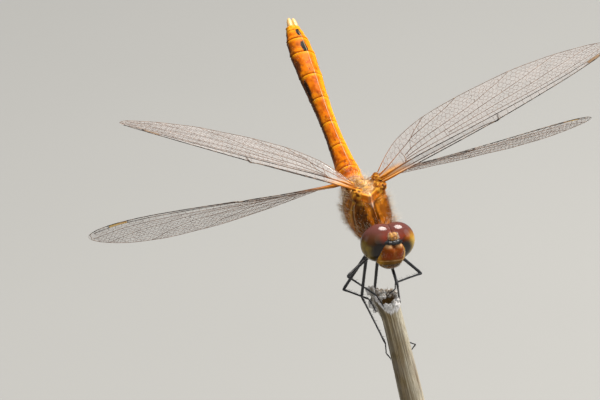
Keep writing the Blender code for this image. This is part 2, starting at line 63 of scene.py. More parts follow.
def choose(piece, kind, wanted):
    """Selects those of a mesh's faces or edges that pass the test, in edit mode."""
    bpy.ops.object.mode_set(mode="OBJECT")
    mesh = piece.data
    for thing in (*mesh.vertices, *mesh.edges, *mesh.polygons):
        thing.select = False
    for thing in mesh.polygons if kind == "FACE" else mesh.edges:
        thing.select = bool(wanted(thing))
    bpy.ops.object.mode_set(mode="EDIT")
    bpy.ops.mesh.select_mode(type=kind)


def choose_faces(piece, wanted):
    """Selects the faces whose centre and normal pass the test, ready for edit mode."""
    choose(piece, "FACE", lambda face: wanted(face.center, face.normal))


def choose_edges(piece, wanted):
    """Selects the edges whose two ends pass the test, ready for edit mode."""
    corners = piece.data.vertices
    choose(piece, "EDGE", lambda edge: all(wanted(corners[end].co) for end in edge.vertices))


def extrude_up(rise):
    """Extrudes the chosen faces straight up, or down where rise is negative."""
    bpy.ops.mesh.extrude_region_move(TRANSFORM_OT_translate={"value": (0, 0, rise)})


def only(piece):
    """Makes one piece the only one selected, in object mode."""
    if bpy.context.object and bpy.context.object.mode != "OBJECT":
        bpy.ops.object.mode_set(mode="OBJECT")
    bpy.ops.object.select_all(action="DESELECT")
    piece.select_set(True)
    bpy.context.view_layer.objects.active = piece


def fitted(piece, name, place, finishes, slot, *nodes):
    """Ends a piece: named, moved from its own millimetre frame to its place, finished, booked."""
    only(piece)
    piece.name = name
    piece.data.name = name
    piece.data.transform(place @ piece.matrix_world)
    piece.matrix_world = Matrix.Identity(4)
    piece.data.materials.clear()
    for finish in finishes:
        piece.data.materials.append(finish)
    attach(piece, "root")
    if nodes:
        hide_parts(*nodes)
    piece.select_set(False)
    return piece


def new_finish(name, **settings):
    """A material with one Principled shader; settings name its sockets."""
    finish = bpy.data.materials.new(name)
    finish.use_nodes = True
    shader = finish.node_tree.nodes["Principled BSDF"]
    for socket, value in settings.items():
        shader.inputs[socket.replace("_", " ")].default_value = value
    return finish, finish.node_tree, shader


def node(tree, kind, label="", **settings):
    """Adds a node; settings are its own properties, or sockets by name with underscores."""
    made = tree.nodes.new(kind)
    made.label = label
    for key, value in settings.items():
        if hasattr(made, key):
            setattr(made, key, value)
        else:
            made.inputs[key.replace("_", " ")].default_value = value
    return made


def wire(tree, source, target):
    """Joins an output to an input."""
    tree.links.new(source, target)


def ramp(tree, source, *stops):
    """A colour ramp fed by source; stops are (position, colour)."""
    made = node(tree, "ShaderNodeValToRGB")
    stops_made = made.color_ramp.elements
    while len(stops_made) < len(stops):
        stops_made.new(0.5)
    for element, (position, colour) in zip(stops_made, stops):
        element.position = position
        element.color = (*colour, 1.0) if len(colour) == 3 else colour
    wire(tree, source, made.inputs["Fac"])
    return made.outputs["Color"]


def blend_colours(tree, mask, first, second, kind="MIX"):
    """Mixes two colours; each is a socket or a plain colour."""
    made = node(tree, "ShaderNodeMix", data_type="RGBA", blend_type=kind)
    for value, target in ((mask, made.inputs[0]), (first, made.inputs[6]), (second, made.inputs[7])):
        if isinstance(value, bpy.types.NodeSocket):
            wire(tree, value, target)
        elif isinstance(value, tuple):
            target.default_value = (*value, 1.0)
        else:
            target.default_value = value
    return made.outputs[2]


def spread(tree, source, low, high, to_low=0.0, to_high=1.0):
    """Maps a value from one range to another, clamped."""
    made = node(tree, "ShaderNodeMapRange")
    for key, value in (("From Min", low), ("From Max", high), ("To Min", to_low), ("To Max", to_high)):
        made.inputs[key].default_value = value
    wire(tree, source, made.inputs["Value"])
    return made.outputs["Result"]


def object_place(tree):
    """Coordinates that stay with the piece, in metres."""
    return node(tree, "ShaderNodeTexCoord").outputs["Object"]


def stretched(tree, place, scale):
    """Coordinates scaled along each axis, to draw a pattern out into grain or fibres."""
    made = node(tree, "ShaderNodeMapping")
    made.inputs["Scale"].default_value = scale
    wire(tree, place, made.inputs["Vector"])
    return made.outputs["Vector"]


def vary(tree, shader, socket, share, low, high):
    """Lets a socket of the shader run from low to high with a share from 0 to 1."""
    wire(tree, spread(tree, share, 0.0, 1.0, low, high), shader.inputs[socket])


def wear_group():
    """Fine dust and rubbing: noise at two sizes, as a colour share and a height."""
    group = bpy.data.node_groups.new("fine_wear", "ShaderNodeTree")
    group.interface.new_socket("Size", in_out="INPUT", socket_type="NodeSocketFloat")
    group.interface.new_socket("Share", in_out="OUTPUT", socket_type="NodeSocketFloat")
    group.interface.new_socket("Height", in_out="OUTPUT", socket_type="NodeSocketFloat")
    inlet = group.nodes.new("NodeGroupInput")
    outlet = group.nodes.new("NodeGroupOutput")
    place = object_place(group)
    broad = node(group, "ShaderNodeTexNoise", Detail=4.0, Roughness=0.55)
    fine = node(group, "ShaderNodeTexNoise", Detail=2.0, Roughness=0.6)
    finer = node(group, "ShaderNodeMath", operation="MULTIPLY")
    finer.inputs[1].default_value = 6.0
    wire(group, inlet.outputs["Size"], broad.inputs["Scale"])
    wire(group, inlet.outputs["Size"], finer.inputs[0])
    wire(group, finer.outputs[0], fine.inputs["Scale"])
    wire(group, place, broad.inputs["Vector"])
    wire(group, place, fine.inputs["Vector"])
    wire(group, spread(group, broad.outputs["Fac"], 0.35, 0.68), outlet.inputs["Share"])
    wire(group, fine.outputs["Fac"], outlet.inputs["Height"])
    return group


FINE_WEAR = wear_group()


def worn(tree, size):
    """Places the fine wear group, with its noise at this many cells to the metre."""
    made = tree.nodes.new("ShaderNodeGroup")
    made.node_tree = FINE_WEAR
    made.inputs["Size"].default_value = size
    return made.outputs["Share"], made.outputs["Height"]


def bumped(tree, shader, height, strength, distance, under=None):
    """Feeds a height to a Bump node and that to the shader, over an earlier bump if given."""
    made = node(tree, "ShaderNodeBump", Strength=strength, Distance=distance)
    wire(tree, height, made.inputs["Height"])
    if under:
        wire(tree, under.outputs["Normal"], made.inputs["Normal"])
    wire(tree, made.outputs["Normal"], shader.inputs["Normal"])
    return made


def markings_of(tree):
    """The colours painted on a piece's corners."""
    return node(tree, "ShaderNodeVertexColor", layer_name="markings").outputs["Color"]


def worn_finish(name, size, tones, rough=None, bump=None, **settings):
    """A finish that wears: its colour and roughness drift between two values.

    tones are two colours, or one shade; the painted markings then drift from plain to darkened.
    """
    finish, tree, shader = new_finish(name, **settings)
    share, height = worn(tree, size)
    if not isinstance(tones[0], tuple):
        tones = (blend_colours(tree, 1.0, markings_of(tree), tones, "MULTIPLY"), markings_of(tree))
    wire(tree, blend_colours(tree, share, *tones), shader.inputs["Base Color"])
    if rough:
        vary(tree, shader, "Roughness", share, *rough)
    return finish, tree, shader, share, bumped(tree, shader, height, *bump) if bump else None


lacquered_wood, tree, shader = new_finish("base_lacquered_wood", Coat_Roughness=0.08, Coat_Weight=0.5)
grain = node(tree, "ShaderNodeTexNoise", Scale=110.0, Detail=6.0, Roughness=0.62, Distortion=0.4)
wire(tree, stretched(tree, object_place(tree), (1.0, 9.0, 9.0)), grain.inputs["Vector"])
dust, _ = worn(tree, 160.0)
wood_colour = ramp(tree, grain.outputs["Fac"], (0.4, LACQUER), (0.66, LACQUER_GRAIN))
wire(tree, blend_colours(tree, dust, wood_colour, (0.034, 0.028, 0.024)), shader.inputs["Base Color"])
vary(tree, shader, "Roughness", dust, 0.2, 0.36)
bumped(tree, shader, grain.outputs["Fac"], 0.12, 0.00008)

felt_pad = worn_finish(
    "base_felt", 1500.0, (FELT, (0.05, 0.056, 0.05)), (0.85, 1.0), (0.5, 0.0001),
    Sheen_Weight=0.5, Sheen_Roughness=0.6,
)[0]


def underside(at, facing):
    """True for the flat face in the middle of the base's underside."""
    return facing.z < -0.99 and hypot(at.x, at.y) < 1


bpy.ops.mesh.primitive_cylinder_add(
    vertices=BASE_FACETS, radius=BASE_RADIUS, depth=BASE_HEIGHT, location=(0, 0, BASE_HEIGHT / 2)
)
base = bpy.context.object
bpy.ops.object.transform_apply(location=True)
choose_edges(base, lambda at: at.z > BASE_HEIGHT - 0.01 and hypot(at.x, at.y) > BASE_RADIUS - 0.01)
bpy.ops.mesh.bevel(offset=BASE_EDGE, segments=6, affect="EDGES")
choose_faces(base, lambda at, facing: facing.z > 0.99 and hypot(at.x, at.y) < 1)
bpy.ops.mesh.inset(thickness=GROOVE_INSET - BASE_EDGE)
bpy.ops.mesh.inset(thickness=GROOVE_WIDTH / 2)
bpy.ops.transform.translate(value=(0, 0, -GROOVE_DEPTH))
bpy.ops.mesh.inset(thickness=GROOVE_WIDTH / 2)
bpy.ops.transform.translate(value=(0, 0, GROOVE_DEPTH))
bpy.ops.mesh.inset(thickness=BASE_RADIUS - GROOVE_INSET - GROOVE_WIDTH - SOCKET_RADIUS)
bpy.ops.transform.translate(value=(0, 0, -SOCKET_DEPTH))
choose_faces(base, underside)
bpy.ops.mesh.bevel(offset=BASE_FOOT_EDGE, segments=2, affect="EDGES")
choose_faces(base, underside)
bpy.ops.mesh.inset(thickness=FELT_INSET)
extrude_up(FELT_RECESS)
bpy.ops.mesh.inset(thickness=FELT_BORDER)
bpy.ops.object.mode_set(mode="OBJECT")
bpy.ops.object.shade_smooth_by_angle(angle=CREASE)
felt_faces = [
    face.index for face in base.data.polygons
    if face.normal.z < -0.9 and FELT_RECESS / 2 < face.center.z < 1
]
base_place = Matrix.Scale(MM, 4)
fitted(base, "display_base", base_place, [lacquered_wood, felt_pad], "stand_base_lacquer", "stand_base")
for index in felt_faces:
    base.data.polygons[index].material_index = 1

# Display rod: one upright of brushed steel, pressed into the base through a small turned
# collar, with a shallow cup at its top where the stem's cut end stands.
ROD_RADIUS = 1.0
ROD_TOP = 16.0
COLLAR_RADIUS = 1.75
COLLAR_HEIGHT = 0.9
COLLAR_SINK = 0.02
COLLAR_EDGE = 0.22
COLLAR_GROOVE = (0.12, 0.1)
CUP_RIM = 0.2
CUP_DEPTH = 0.12
STEEL = (0.56, 0.57, 0.58)

brushed_steel, tree, shader = new_finish("rod_brushed_steel", Metallic=1.0)
brush_lines = node(tree, "ShaderNodeTexNoise", Scale=900.0, Detail=3.0)
wire(tree, stretched(tree, object_place(tree), (1.0, 1.0, 26.0)), brush_lines.inputs["Vector"])
rub, _ = worn(tree, 260.0)
steel_colour = ramp(tree, brush_lines.outputs["Fac"], (0.3, (0.44, 0.45, 0.46)), (0.7, STEEL))
wire(tree, blend_colours(tree, rub, steel_colour, (0.5, 0.5, 0.49)), shader.inputs["Base Color"])
wire(tree, spread(tree, brush_lines.outputs["Fac"], 0.3, 0.7, 0.2, 0.38), shader.inputs["Roughness"])
bumped(tree, shader, brush_lines.outputs["Fac"], 0.15, 0.00002)

bpy.ops.mesh.primitive_cylinder_add(vertices=64, radius=COLLAR_RADIUS, depth=COLLAR_HEIGHT)
rod = bpy.context.object
rod.data.transform(Matrix.Translation((0, 0, BASE_HEIGHT + COLLAR_HEIGHT / 2 - COLLAR_SINK)))
choose_edges(rod, lambda at: at.z > BASE_HEIGHT + COLLAR_HEIGHT / 2)
bpy.ops.mesh.bevel(offset=COLLAR_EDGE, segments=4, affect="EDGES")
choose_faces(rod, lambda at, facing: facing.z > 0.99)
bpy.ops.mesh.inset(thickness=COLLAR_RADIUS - COLLAR_EDGE - ROD_RADIUS - COLLAR_GROOVE[0])
extrude_up(-COLLAR_GROOVE[1])
bpy.ops.mesh.inset(thickness=COLLAR_GROOVE[0])
extrude_up(ROD_TOP - BASE_HEIGHT - COLLAR_HEIGHT + COLLAR_SINK + COLLAR_GROOVE[1])
bpy.ops.mesh.inset(thickness=CUP_RIM)
extrude_up(-CUP_DEPTH)
choose_edges(rod, lambda at: at.z > ROD_TOP - 0.02 and hypot(at.x, at.y) > ROD_RADIUS - 0.05)
bpy.ops.mesh.bevel(offset=0.09, segments=3, affect="EDGES")
bpy.ops.object.mode_set(mode="OBJECT")
bpy.ops.object.shade_smooth_by_angle(angle=CREASE)
fitted(rod, "display_rod", base_place, [brushed_steel], "stand_rod_steel", "stand_rod")

# Perch: a short cut length of dead, hollow, straw-like stem, torn off at the top, with long
# fibres down its outside, a pale spongy broken edge and a brown bore. It stands on the rod.
PERCH_LENGTH = 25.0
PERCH_DOWN = Vector((0.232, 0.06, -1.0)).normalized()
PERCH_LIFT = 0.06
PERCH_TOP_RADIUS = 0.95
PERCH_GROWTH = 0.013
PERCH_WALL = 0.26
PERCH_HOLLOW = 5.0
PITH_SIDE = 300
PITH_HALF_WIDTH = 62
PERCH_AROUND = 176
PERCH_ROWS = 130
BORE_ROWS = 26
SHEATH_SIDE = 180
SHEATH_HALF_WIDTH = 38
SHEATH_CLOSE = 0.12
SHEATH_PEELED = 0.66
RIM_TILT = 0.36
RIM_TEETH = ((0.07, 5, 1.0), (0.05, 9, 0.0))
FLAP_HEIGHT = 1.5
FLAP_SIDE = 183
FLAP_HALF_WIDTH = 33
FIBRES = ((0.01, 23, 0.4), (0.01, 37, 1.7), (0.008, 61, 0.2))
STRAW = (0.34, 0.25, 0.12)
STRAW_DARK = (0.085, 0.06, 0.018)
STRAW_PALE = (0.8, 0.74, 0.58)
PITH = (0.95, 0.94, 0.97)
BORE = (0.3, 0.165, 0.035)

perch_up = -PERCH_DOWN
perch_across = (Vector((1, 0, 0)) - perch_up * perch_up.x).normalized()
perch_turn = Matrix((perch_across, perch_up.cross(perch_across), perch_up)).transposed()
rim_spot = Vector((0, 0, ROD_TOP + PERCH_LIFT)) + perch_up * PERCH_LENGTH
perch_place = Matrix.Translation(rim_spot * MM) @ perch_turn.to_4x4() @ Matrix.Scale(MM, 4)


def hump(at, middle, width):
    """1 at its middle, falling smoothly away to both sides."""
    return exp(-(((at - middle) / width) ** 2))


def ease(at, start, end):
    """0 before start, 1 after end, smooth between."""
    share = max(0.0, min(1.0, (at - start) / (end - start)))
    return share * share * (3 - 2 * share)


def mixed(first, second, share):
    """A colour part of the way from the first to the second."""
    return tuple(a + (b - a) * share for a, b in zip(first, second))


def degrees_from(turn, middle):
    """How far one side of the stem is round from another, from -180 to 180."""
    return (turn - middle + 180) % 360 - 180


def round_axis(radius, turn, height):
    """A point this far from the stem's axis, this many degrees round it."""
    return Vector((radius * cos(radians(turn)), radius * sin(radians(turn)), height))


def ring_noise(bend, size, height):
    """Noise that meets itself on the way round the stem; a larger size makes it finer."""
    return noise.noise(Vector((size * cos(bend), size * sin(bend), height)))


def perch_radius(height, turn):
    """The stem's outer radius, with the strip of dead sheath standing off its left side."""
    stand_off = SHEATH_CLOSE + SHEATH_PEELED * hump(height, 0.3, 1.3) + 0.1 * hump(height, -12, 5)
    sheath = stand_off * hump(degrees_from(turn, SHEATH_SIDE), 0, SHEATH_HALF_WIDTH)
    return PERCH_TOP_RADIUS + PERCH_GROWTH * max(0.0, -height) + sheath


def fibre_ridge(turn, height):
    """Fine ridges along the stem that wander and fade."""
    bend = radians(turn) + 0.05 * sin(height * 0.35)
    ridge = sum(depth * sin(count * bend + phase) for depth, count, phase in FIBRES)
    fading = 0.6 + 0.8 * ring_noise(bend, 3.0, height * 0.25)
    return ridge * fading - 0.02 * (1 - ease(abs(ring_noise(bend, 6.0, height * 0.5)), 0, 0.08))


def torn_height(turn):
    """The broken edge: low in front, higher behind, with ragged fibre ends and a tall flap."""
    bend = radians(turn)
    flap = FLAP_HEIGHT * hump(degrees_from(turn, FLAP_SIDE), 0, FLAP_HALF_WIDTH)
    teeth = sum(height * sin(count * bend + phase) for height, count, phase in RIM_TEETH)
    ragged = 0.1 * ring_noise(bend, 7, 2.0) + 0.06 * ring_noise(bend, 19, 5.0)
    return RIM_TILT * sin(bend) + flap + teeth + ragged * (1 + 1.4 * flap)


def pith_lip(turn):
    """How far the thick torn pith bulges out below the front of the rim."""
    bend = radians(turn)
    lumpy = 1 + 1.3 * ring_noise(bend, 5, 1.0)
    return 0.16 * hump(degrees_from(turn, PITH_SIDE), 0, PITH_HALF_WIDTH) * lumpy


def level_foot(turn):
    """Height of the stem's level-cut foot on this side."""
    radius = perch_radius(-PERCH_LENGTH, turn)
    side = perch_turn @ Vector((cos(radians(turn)), sin(radians(turn)), 0))
    return -PERCH_LENGTH - radius * side.z / perch_up.z


def perch_point(share, row):
    """A corner of the stem's sheet: up the outside, over the torn edge and down the bore."""
    turn = 360 * share
    if row == 0:
        return Vector((0, 0, -PERCH_LENGTH))
    top = torn_height(turn)
    if row <= PERCH_ROWS:
        climb = 1 - (1 - (row - 1) / (PERCH_ROWS - 1)) ** 1.8
        foot = level_foot(turn)
        height = foot + (top - foot) * climb
        radius = perch_radius(height, turn) + fibre_ridge(turn, height) * ease(top - height, 0, 0.4)
        radius -= 0.07 * (1 - ease(top - height, 0, 0.16))
        radius += pith_lip(turn) * hump(top - height, 0.4, 0.3)
    else:
        drop = (row - PERCH_ROWS) / BORE_ROWS
        height = top - (top + PERCH_HOLLOW) * max(0.0, drop - 0.06) ** 1.35
        wall = PERCH_WALL * ease(drop, 0, 0.18) + 0.03 * noise.noise(Vector((turn / 14, height * 2, 0)))
        radius = (perch_radius(height, turn) - wall) * (1 - 0.5 * ease(-height, 2.5, PERCH_HOLLOW))
        if row == PERCH_ROWS + BORE_ROWS:
            radius, height = 0.0, -PERCH_HOLLOW
    return round_axis(radius, turn, height)


def rolled(around, rows, point, note=None):
    """A flat grid rolled up: point(share round, row) places its corners, seam and poles merge.

    note(share, row) is what each corner remembers of its station, which merging would lose.
    """
    bpy.ops.mesh.primitive_grid_add(x_subdivisions=around, y_subdivisions=rows, size=2)
    piece = bpy.context.object
    if note:
        stations = piece.data.attributes.new("station", "FLOAT_VECTOR", "POINT").data
    for corner in piece.data.vertices:
        share = round((corner.co.x + 1) / 2 * around) / around
        row = round((corner.co.y + 1) / 2 * rows)
        corner.co = point(share, row)
        if note:
            stations[corner.index].vector = note(share, row)
    bpy.ops.object.mode_set(mode="EDIT")
    bpy.ops.mesh.select_all(action="SELECT")
    bpy.ops.mesh.remove_doubles(threshold=0.00001)
    bpy.ops.mesh.normals_make_consistent(inside=False)
    bpy.ops.object.mode_set(mode="OBJECT")
    bpy.ops.object.shade_smooth()
    return piece


def painted(piece, tone):
    """Gives each corner the colour that tone(corner) says, in the attribute named markings."""
    markings = piece.data.color_attributes.new("markings", "FLOAT_COLOR", "POINT")
    for corner, paint in zip(piece.data.vertices, markings.data):
        paint.color = (*tone(corner), 1.0)
    return piece


dead_straw, tree, shader = new_finish("stem_dead_straw")
fibre_map = node(tree, "ShaderNodeUVMap", uv_map="UVMap").outputs["UV"]
fibres = node(tree, "ShaderNodeTexNoise", Scale=2.0, Detail=5.0, Roughness=0.65)
wire(tree, stretched(tree, fibre_map, (60.0, 14.0, 1.0)), fibres.inputs["Vector"])
weather, speck = worn(tree, 700.0)
streaks = ramp(tree, fibres.outputs["Fac"], (0.34, (0.5, 0.44, 0.34)), (0.6, (1.0, 1.0, 1.0)))
straw_tone = blend_colours(tree, 1.0, markings_of(tree), streaks, "MULTIPLY")
grey_tone = blend_colours(tree, 0.2, straw_tone, (0.42, 0.4, 0.37))
wire(tree, blend_colours(tree, weather, straw_tone, grey_tone), shader.inputs["Base Color"])
wire(tree, spread(tree, fibres.outputs["Fac"], 0.3, 0.7, 0.82, 0.55), shader.inputs["Roughness"])
fibre_bump = bumped(tree, shader, fibres.outputs["Fac"], 0.5, 0.00006)
bumped(tree, shader, speck, 0.25, 0.00003, fibre_bump)


def straw_tone_at(corner):
    """Straw outside, painted light on its right and painted shade on its left, white pith where it is
    torn.
    """
    x, y, height = corner.co
    bend = atan2(y, x)
    angle = degrees(bend) % 360
    depth = torn_height(angle) - height
    torn = mixed(PITH, (0.33, 0.23, 0.12), 0.8 * ease(y, 0.0, 0.6))
    if hypot(x, y) < perch_radius(height, angle) - 0.75 * PERCH_WALL:
        return mixed(torn, BORE, ease(depth, 0.1, 0.45))
    streak = ring_noise(bend, 9, height * 0.16)
    patch = ring_noise(bend, 2, height * 0.3)
    # Painted light and shade: the straw is painted pale on its right side and dark on its left.
    painted_lit = cos(bend) + 0.35 * patch
    tone = mixed(STRAW, STRAW_PALE, ease(painted_lit, 0.0, 0.85) * 0.95)
    tone = mixed(tone, STRAW_DARK, 0.8 * ease(-painted_lit, 0.35, 0.95))
    tone = mixed(tone, STRAW_DARK, 0.55 * ease(streak, 0.0, 0.4))
    tone = mixed(tone, STRAW_PALE, 0.45 * ease(-streak, 0.05, 0.35))
    stain = hypot((height + 8.5) / 2.2, (degrees_from(angle, 335)) / 26)
    tone = mixed(tone, (0.2, 0.11, 0.045), 0.6 * hump(stain, 0, 1.0))
    lip = hump(degrees_from(angle, PITH_SIDE), 0, PITH_HALF_WIDTH)
    return mixed(torn, tone, ease(depth + 0.25 * streak, 0.08 + 0.55 * lip, 0.35 + 0.6 * lip))


perch = rolled(PERCH_AROUND, PERCH_ROWS + BORE_ROWS, perch_point)
painted(perch, straw_tone_at)
fitted(perch, "broken_stem", perch_place, [dead_straw], "dead_straw", "perch")


# Peeled sheath and torn pith: two curled strips of the dead leaf sheath stand off the stem's
# left side at the break, with crumbs of pale pith and loose fibres round the rim.
SHEATH_STRIPS = (
    # height from, to, degrees from, to, stand-off at foot and top, curl at the top, twist
    (-2.6, 1.15, 150, 212, 0.1, 0.55, 0.35, 10),
    (-0.4, 1.75, 158, 207, 0.4, 0.6, -0.3, -4),
)
SHEATH_THICKNESS = 0.09
FLUFF_COUNT = 150
FLUFF_RADIUS = 0.02
PITH_LUMPS = (
    # place across, away and up from the rim's middle, and half size
    (-1.5, 0.1, 1.35, 0.46), (-1.32, -0.25, 0.75, 0.3), (-1.6, -0.15, 0.05, 0.48),
    (-1.42, -0.3, -0.55, 0.34), (-0.95, 0.5, 0.95, 0.3), (-0.5, 0.75, 0.75, 0.26),
    (-0.1, 0.95, 0.6, 0.24), (0.35, 0.85, 0.5, 0.26), (0.75, 0.5, 0.42, 0.22),
    (-0.75, -0.1, 0.5, 0.25), (-0.4, 0.3, 0.35, 0.22), (0.1, 0.5, 0.25, 0.2),
    (0.55, -0.72, -0.2, 0.34), (0.1, -0.9, -0.35, 0.32), (-0.35, -0.85, -0.2, 0.26),
    (0.85, -0.35, 0.0, 0.26),
)
FLUFF = (0.66, 0.63, 0.59)


def thickened(sheet, thickness):
    """Gives an open sheet its thickness, half to each side."""
    solid = sheet.modifiers.new("thickness", "SOLIDIFY")
    solid.thickness = thickness
    solid.offset = 0.0
    bpy.ops.object.modifier_apply(modifier=solid.name)
    bpy.ops.object.shade_smooth()
    return sheet


def joined(pieces):
    """Makes several loose parts one mesh."""
    only(pieces[0])
    for piece in pieces:
        piece.select_set(True)
    bpy.ops.object.join()
    return pieces[0]


def sheath_strip(low, high, start, end, close, apart, curl, twist):
    """One curled strip of sheath, as a bent sheet given its thickness."""
    bpy.ops.mesh.primitive_grid_add(x_subdivisions=22, y_subdivisions=44, size=2)
    strip = bpy.context.object
    for corner in strip.data.vertices:
        share = (corner.co.x + 1) / 2
        climb = (corner.co.y + 1) / 2
        ragged = 0.16 * noise.noise(Vector((share * 5, 0, low * 3))) + 0.06 * sin(share * 19)
        narrow = 1 - 0.35 * climb**2 - 0.5 * (1 - climb) ** 3
        middle = (start + end) / 2 + twist * climb
        turn = middle + (share - 0.5) * (end - start) * narrow
        height = low + (high + ragged - low) * climb
        lip = (share - 0.5) * curl * climb
        radius = PERCH_TOP_RADIUS + close + (apart - close) * ease(climb, 0.1, 0.9) + lip
        radius += 0.025 * sin(share * 40) + 0.07 * noise.noise(Vector((share * 3, climb * 4, high)))
        corner.co = round_axis(radius, turn, height)
    return thickened(strip, SHEATH_THICKNESS)


def new_strands():
    """Lists that fine hairs, fibres or spines are added to before they become one mesh."""
    return {"corners": [], "faces": [], "spots": [], "tones": []}


def add_strand(strands, points, radii, root_tone, tip_tone, spot=(0.5, 0.5), sides=3):
    """One tapered hair along points, closed at its root and drawn to a point."""
    along = (points[-1] - points[0]).normalized()
    side = along.orthogonal().normalized()
    other = along.cross(side)
    first = len(strands["corners"])
    rings = len(points) - 1
    for k in range(rings):
        share = k / rings
        for j in range(sides):
            a = 2 * pi * j / sides
            strands["corners"].append(points[k] + (side * cos(a) + other * sin(a)) * radii[k])
            strands["tones"].append(mixed(root_tone, tip_tone, share))
            reach = 0.0015 * (1 - share)
            strands["spots"].append((spot[0] + reach * cos(a), spot[1] + reach * sin(a)))
    strands["corners"].append(points[-1])
    strands["tones"].append(tip_tone)
    strands["spots"].append(spot)
    strands["faces"].append(tuple(first + j for j in reversed(range(sides))))
    for k in range(rings - 1):
        for j in range(sides):
            a, b = first + k * sides + j, first + k * sides + (j + 1) % sides
            strands["faces"].append((a, b, b + sides, a + sides))
    last = first + (rings - 1) * sides
    for j in range(sides):
        strands["faces"].append((last + j, last + (j + 1) % sides, first + rings * sides))


def strands_mesh(strands, name):
    """The strands as one mesh, with their colours and their OFBake map."""
    mesh = bpy.data.meshes.new(name)
    mesh.from_pydata(strands["corners"], [], strands["faces"])
    bake = mesh.uv_layers.new(name="OFBake")
    for loop, place in zip(mesh.loops, bake.data):
        place.uv = strands["spots"][loop.vertex_index]
    markings = mesh.color_attributes.new("markings", "FLOAT_COLOR", "POINT")
    for tone, paint in zip(strands["tones"], markings.data):
        paint.color = (*tone, 1.0)
    mesh.shade_smooth()
    made = bpy.data.objects.new(name, mesh)
    bpy.context.scene.collection.objects.link(made)
    return made


def strip_tone(corner):
    """Grey-white weathered sheath, browner toward its foot."""
    at = corner.co
    streak = noise.noise(Vector((at.x * 6, at.y * 6, at.z * 0.8)))
    tone = mixed((0.6, 0.57, 0.52), (0.33, 0.29, 0.22), ease(streak, -0.15, 0.35))
    return mixed((0.3, 0.25, 0.17), tone, ease(at.z, -2.6, -0.6))


sheath = painted(joined([sheath_strip(*row) for row in SHEATH_STRIPS]), strip_tone)
fitted(sheath, "peeled_sheath", perch_place, [dead_straw], "dead_straw")

pith_fluff, tree, shader = new_finish("stem_pith_fluff", Roughness=0.9, Sheen_Weight=0.3)
haze, _ = worn(tree, 900.0)
paler = blend_colours(tree, haze, markings_of(tree), (0.72, 0.7, 0.67))
wire(tree, blend_colours(tree, 0.5, markings_of(tree), paler), shader.inputs["Base Color"])


def pith_lump(across, away, up, size, turned):
    """A crumb of torn pith: a ball pushed out of round by noise."""
    bpy.ops.mesh.primitive_uv_sphere_add(segments=26, ring_count=16, radius=size)
    lump = bpy.context.object
    for corner in lump.data.vertices:
        way = corner.co.normalized()
        rough = 1 + 0.45 * noise.noise(way * 1.7 + Vector((turned, 0, 0)))
        rough += 0.28 * noise.noise(way * 4.5 + Vector((0, turned, 0)))
        corner.co = Vector((across, away, up)) + corner.co * rough
    bpy.ops.object.shade_smooth()
    return lump


def lump_tone(corner):
    """White and grey crumbs, stained brown toward the bore."""
    at = corner.co
    fleck = noise.noise(at * 3.5)
    tone = mixed((0.72, 0.7, 0.68), (0.36, 0.33, 0.28), ease(fleck, -0.15, 0.35))
    return mixed(tone, (0.24, 0.15, 0.06), 0.9 * ease(at.y, 0.0, 0.5) * ease(fleck, -0.35, 0.0))


crumbs = joined([pith_lump(*row, 3.1 * i) for i, row in enumerate(PITH_LUMPS)])
painted(crumbs, lump_tone)
fitted(crumbs, "pith_crumbs", perch_place, [pith_fluff], "dead_straw")

chance = random.Random(11)
fluff = new_strands()
for count in range(FLUFF_COUNT):
    turn = chance.uniform(0, 360) if count % 2 else chance.gauss(95, 60)
    root_height = torn_height(turn) - chance.uniform(0.02, 0.14)
    radius = perch_radius(root_height, turn) - chance.uniform(0.03, 0.2)
    out = round_axis(1, turn, 0)
    root = out * radius + Vector((0, 0, root_height))
    length = chance.uniform(0.12, 0.4) if count % 5 else chance.uniform(0.4, 0.9)
    lean = (out * chance.uniform(-0.5, 0.8) + Vector((0, 0, 1))).normalized()
    curl = Vector([chance.uniform(-1, 1) for _ in range(3)]) * length * 0.35
    points = [root + lean * length * t + curl * t * t for t in (0.0, 0.3, 0.65, 1.0)]
    radii = [FLUFF_RADIUS * chance.uniform(0.6, 1.3) * k for k in (1.0, 0.8, 0.6)]
    shade = mixed(FLUFF, (0.42, 0.36, 0.27), chance.random() * 0.8)
    add_strand(fluff, points, radii, shade, shade, (turn / 360 % 1, 0.9))
fitted(strands_mesh(fluff, "pith_fluff"), "pith_fluff", perch_place, [pith_fluff], "dead_straw")

# The body's own frame: x runs toward the head, y to the insect's left, z to its back. It is
# held over the stem's rim, rolled, nose up and turned to look over the front.
THORAX_FROM_RIM = Vector((-2.13, 4.14, 8.44))
BODY_TURN = Euler((radians(10), radians(7), radians(-72)))

body_turn = BODY_TURN.to_matrix().to_4x4()
body_place = Matrix.Translation((rim_spot + THORAX_FROM_RIM) * MM) @ body_turn @ Matrix.Scale(MM, 4)

# Body skin: one seamless hide of thin, hard cuticle from the tail's tip to the back of the
# head, with ten jointed abdomen rings, the skewed thorax with its seams, the little front
# collar and the neck. It lies under the coat of hair, and holds the body's markings.
ABDOMEN = (
    # segment, length, half width and height where it begins
    ("S1", 0.7, 1.1, 1.9), ("S2", 1.7, 1.24, 2.2), ("S3", 3.2, 1.22, 2.1), ("S4", 3.2, 0.94, 1.6),
    ("S5", 3.2, 0.85, 1.45), ("S6", 3.1, 0.98, 1.6), ("S7", 2.95, 1.24, 1.75), ("S8", 1.92, 1.4, 1.75),
    ("S9", 1.2, 1.26, 1.55), ("S10", 0.73, 0.92, 1.2),
)
ABDOMEN_END = (0.74, 0.8)
ABDOMEN_LENGTH = sum(row[1] for row in ABDOMEN)
ABDOMEN_START = Vector((-3.1, -0.15, 0.4))
ABDOMEN_RISE = (radians(21), radians(27))
ABDOMEN_VEER = (radians(-2), radians(-3.2))
ABDOMEN_LEAN = radians(12)
TIP_LEAN = radians(13)
ABDOMEN_BACK = 0.58
ABDOMEN_ROOF = 0.14
ABDOMEN_BELLY = 0.6
ABDOMEN_SKIN = 0.975
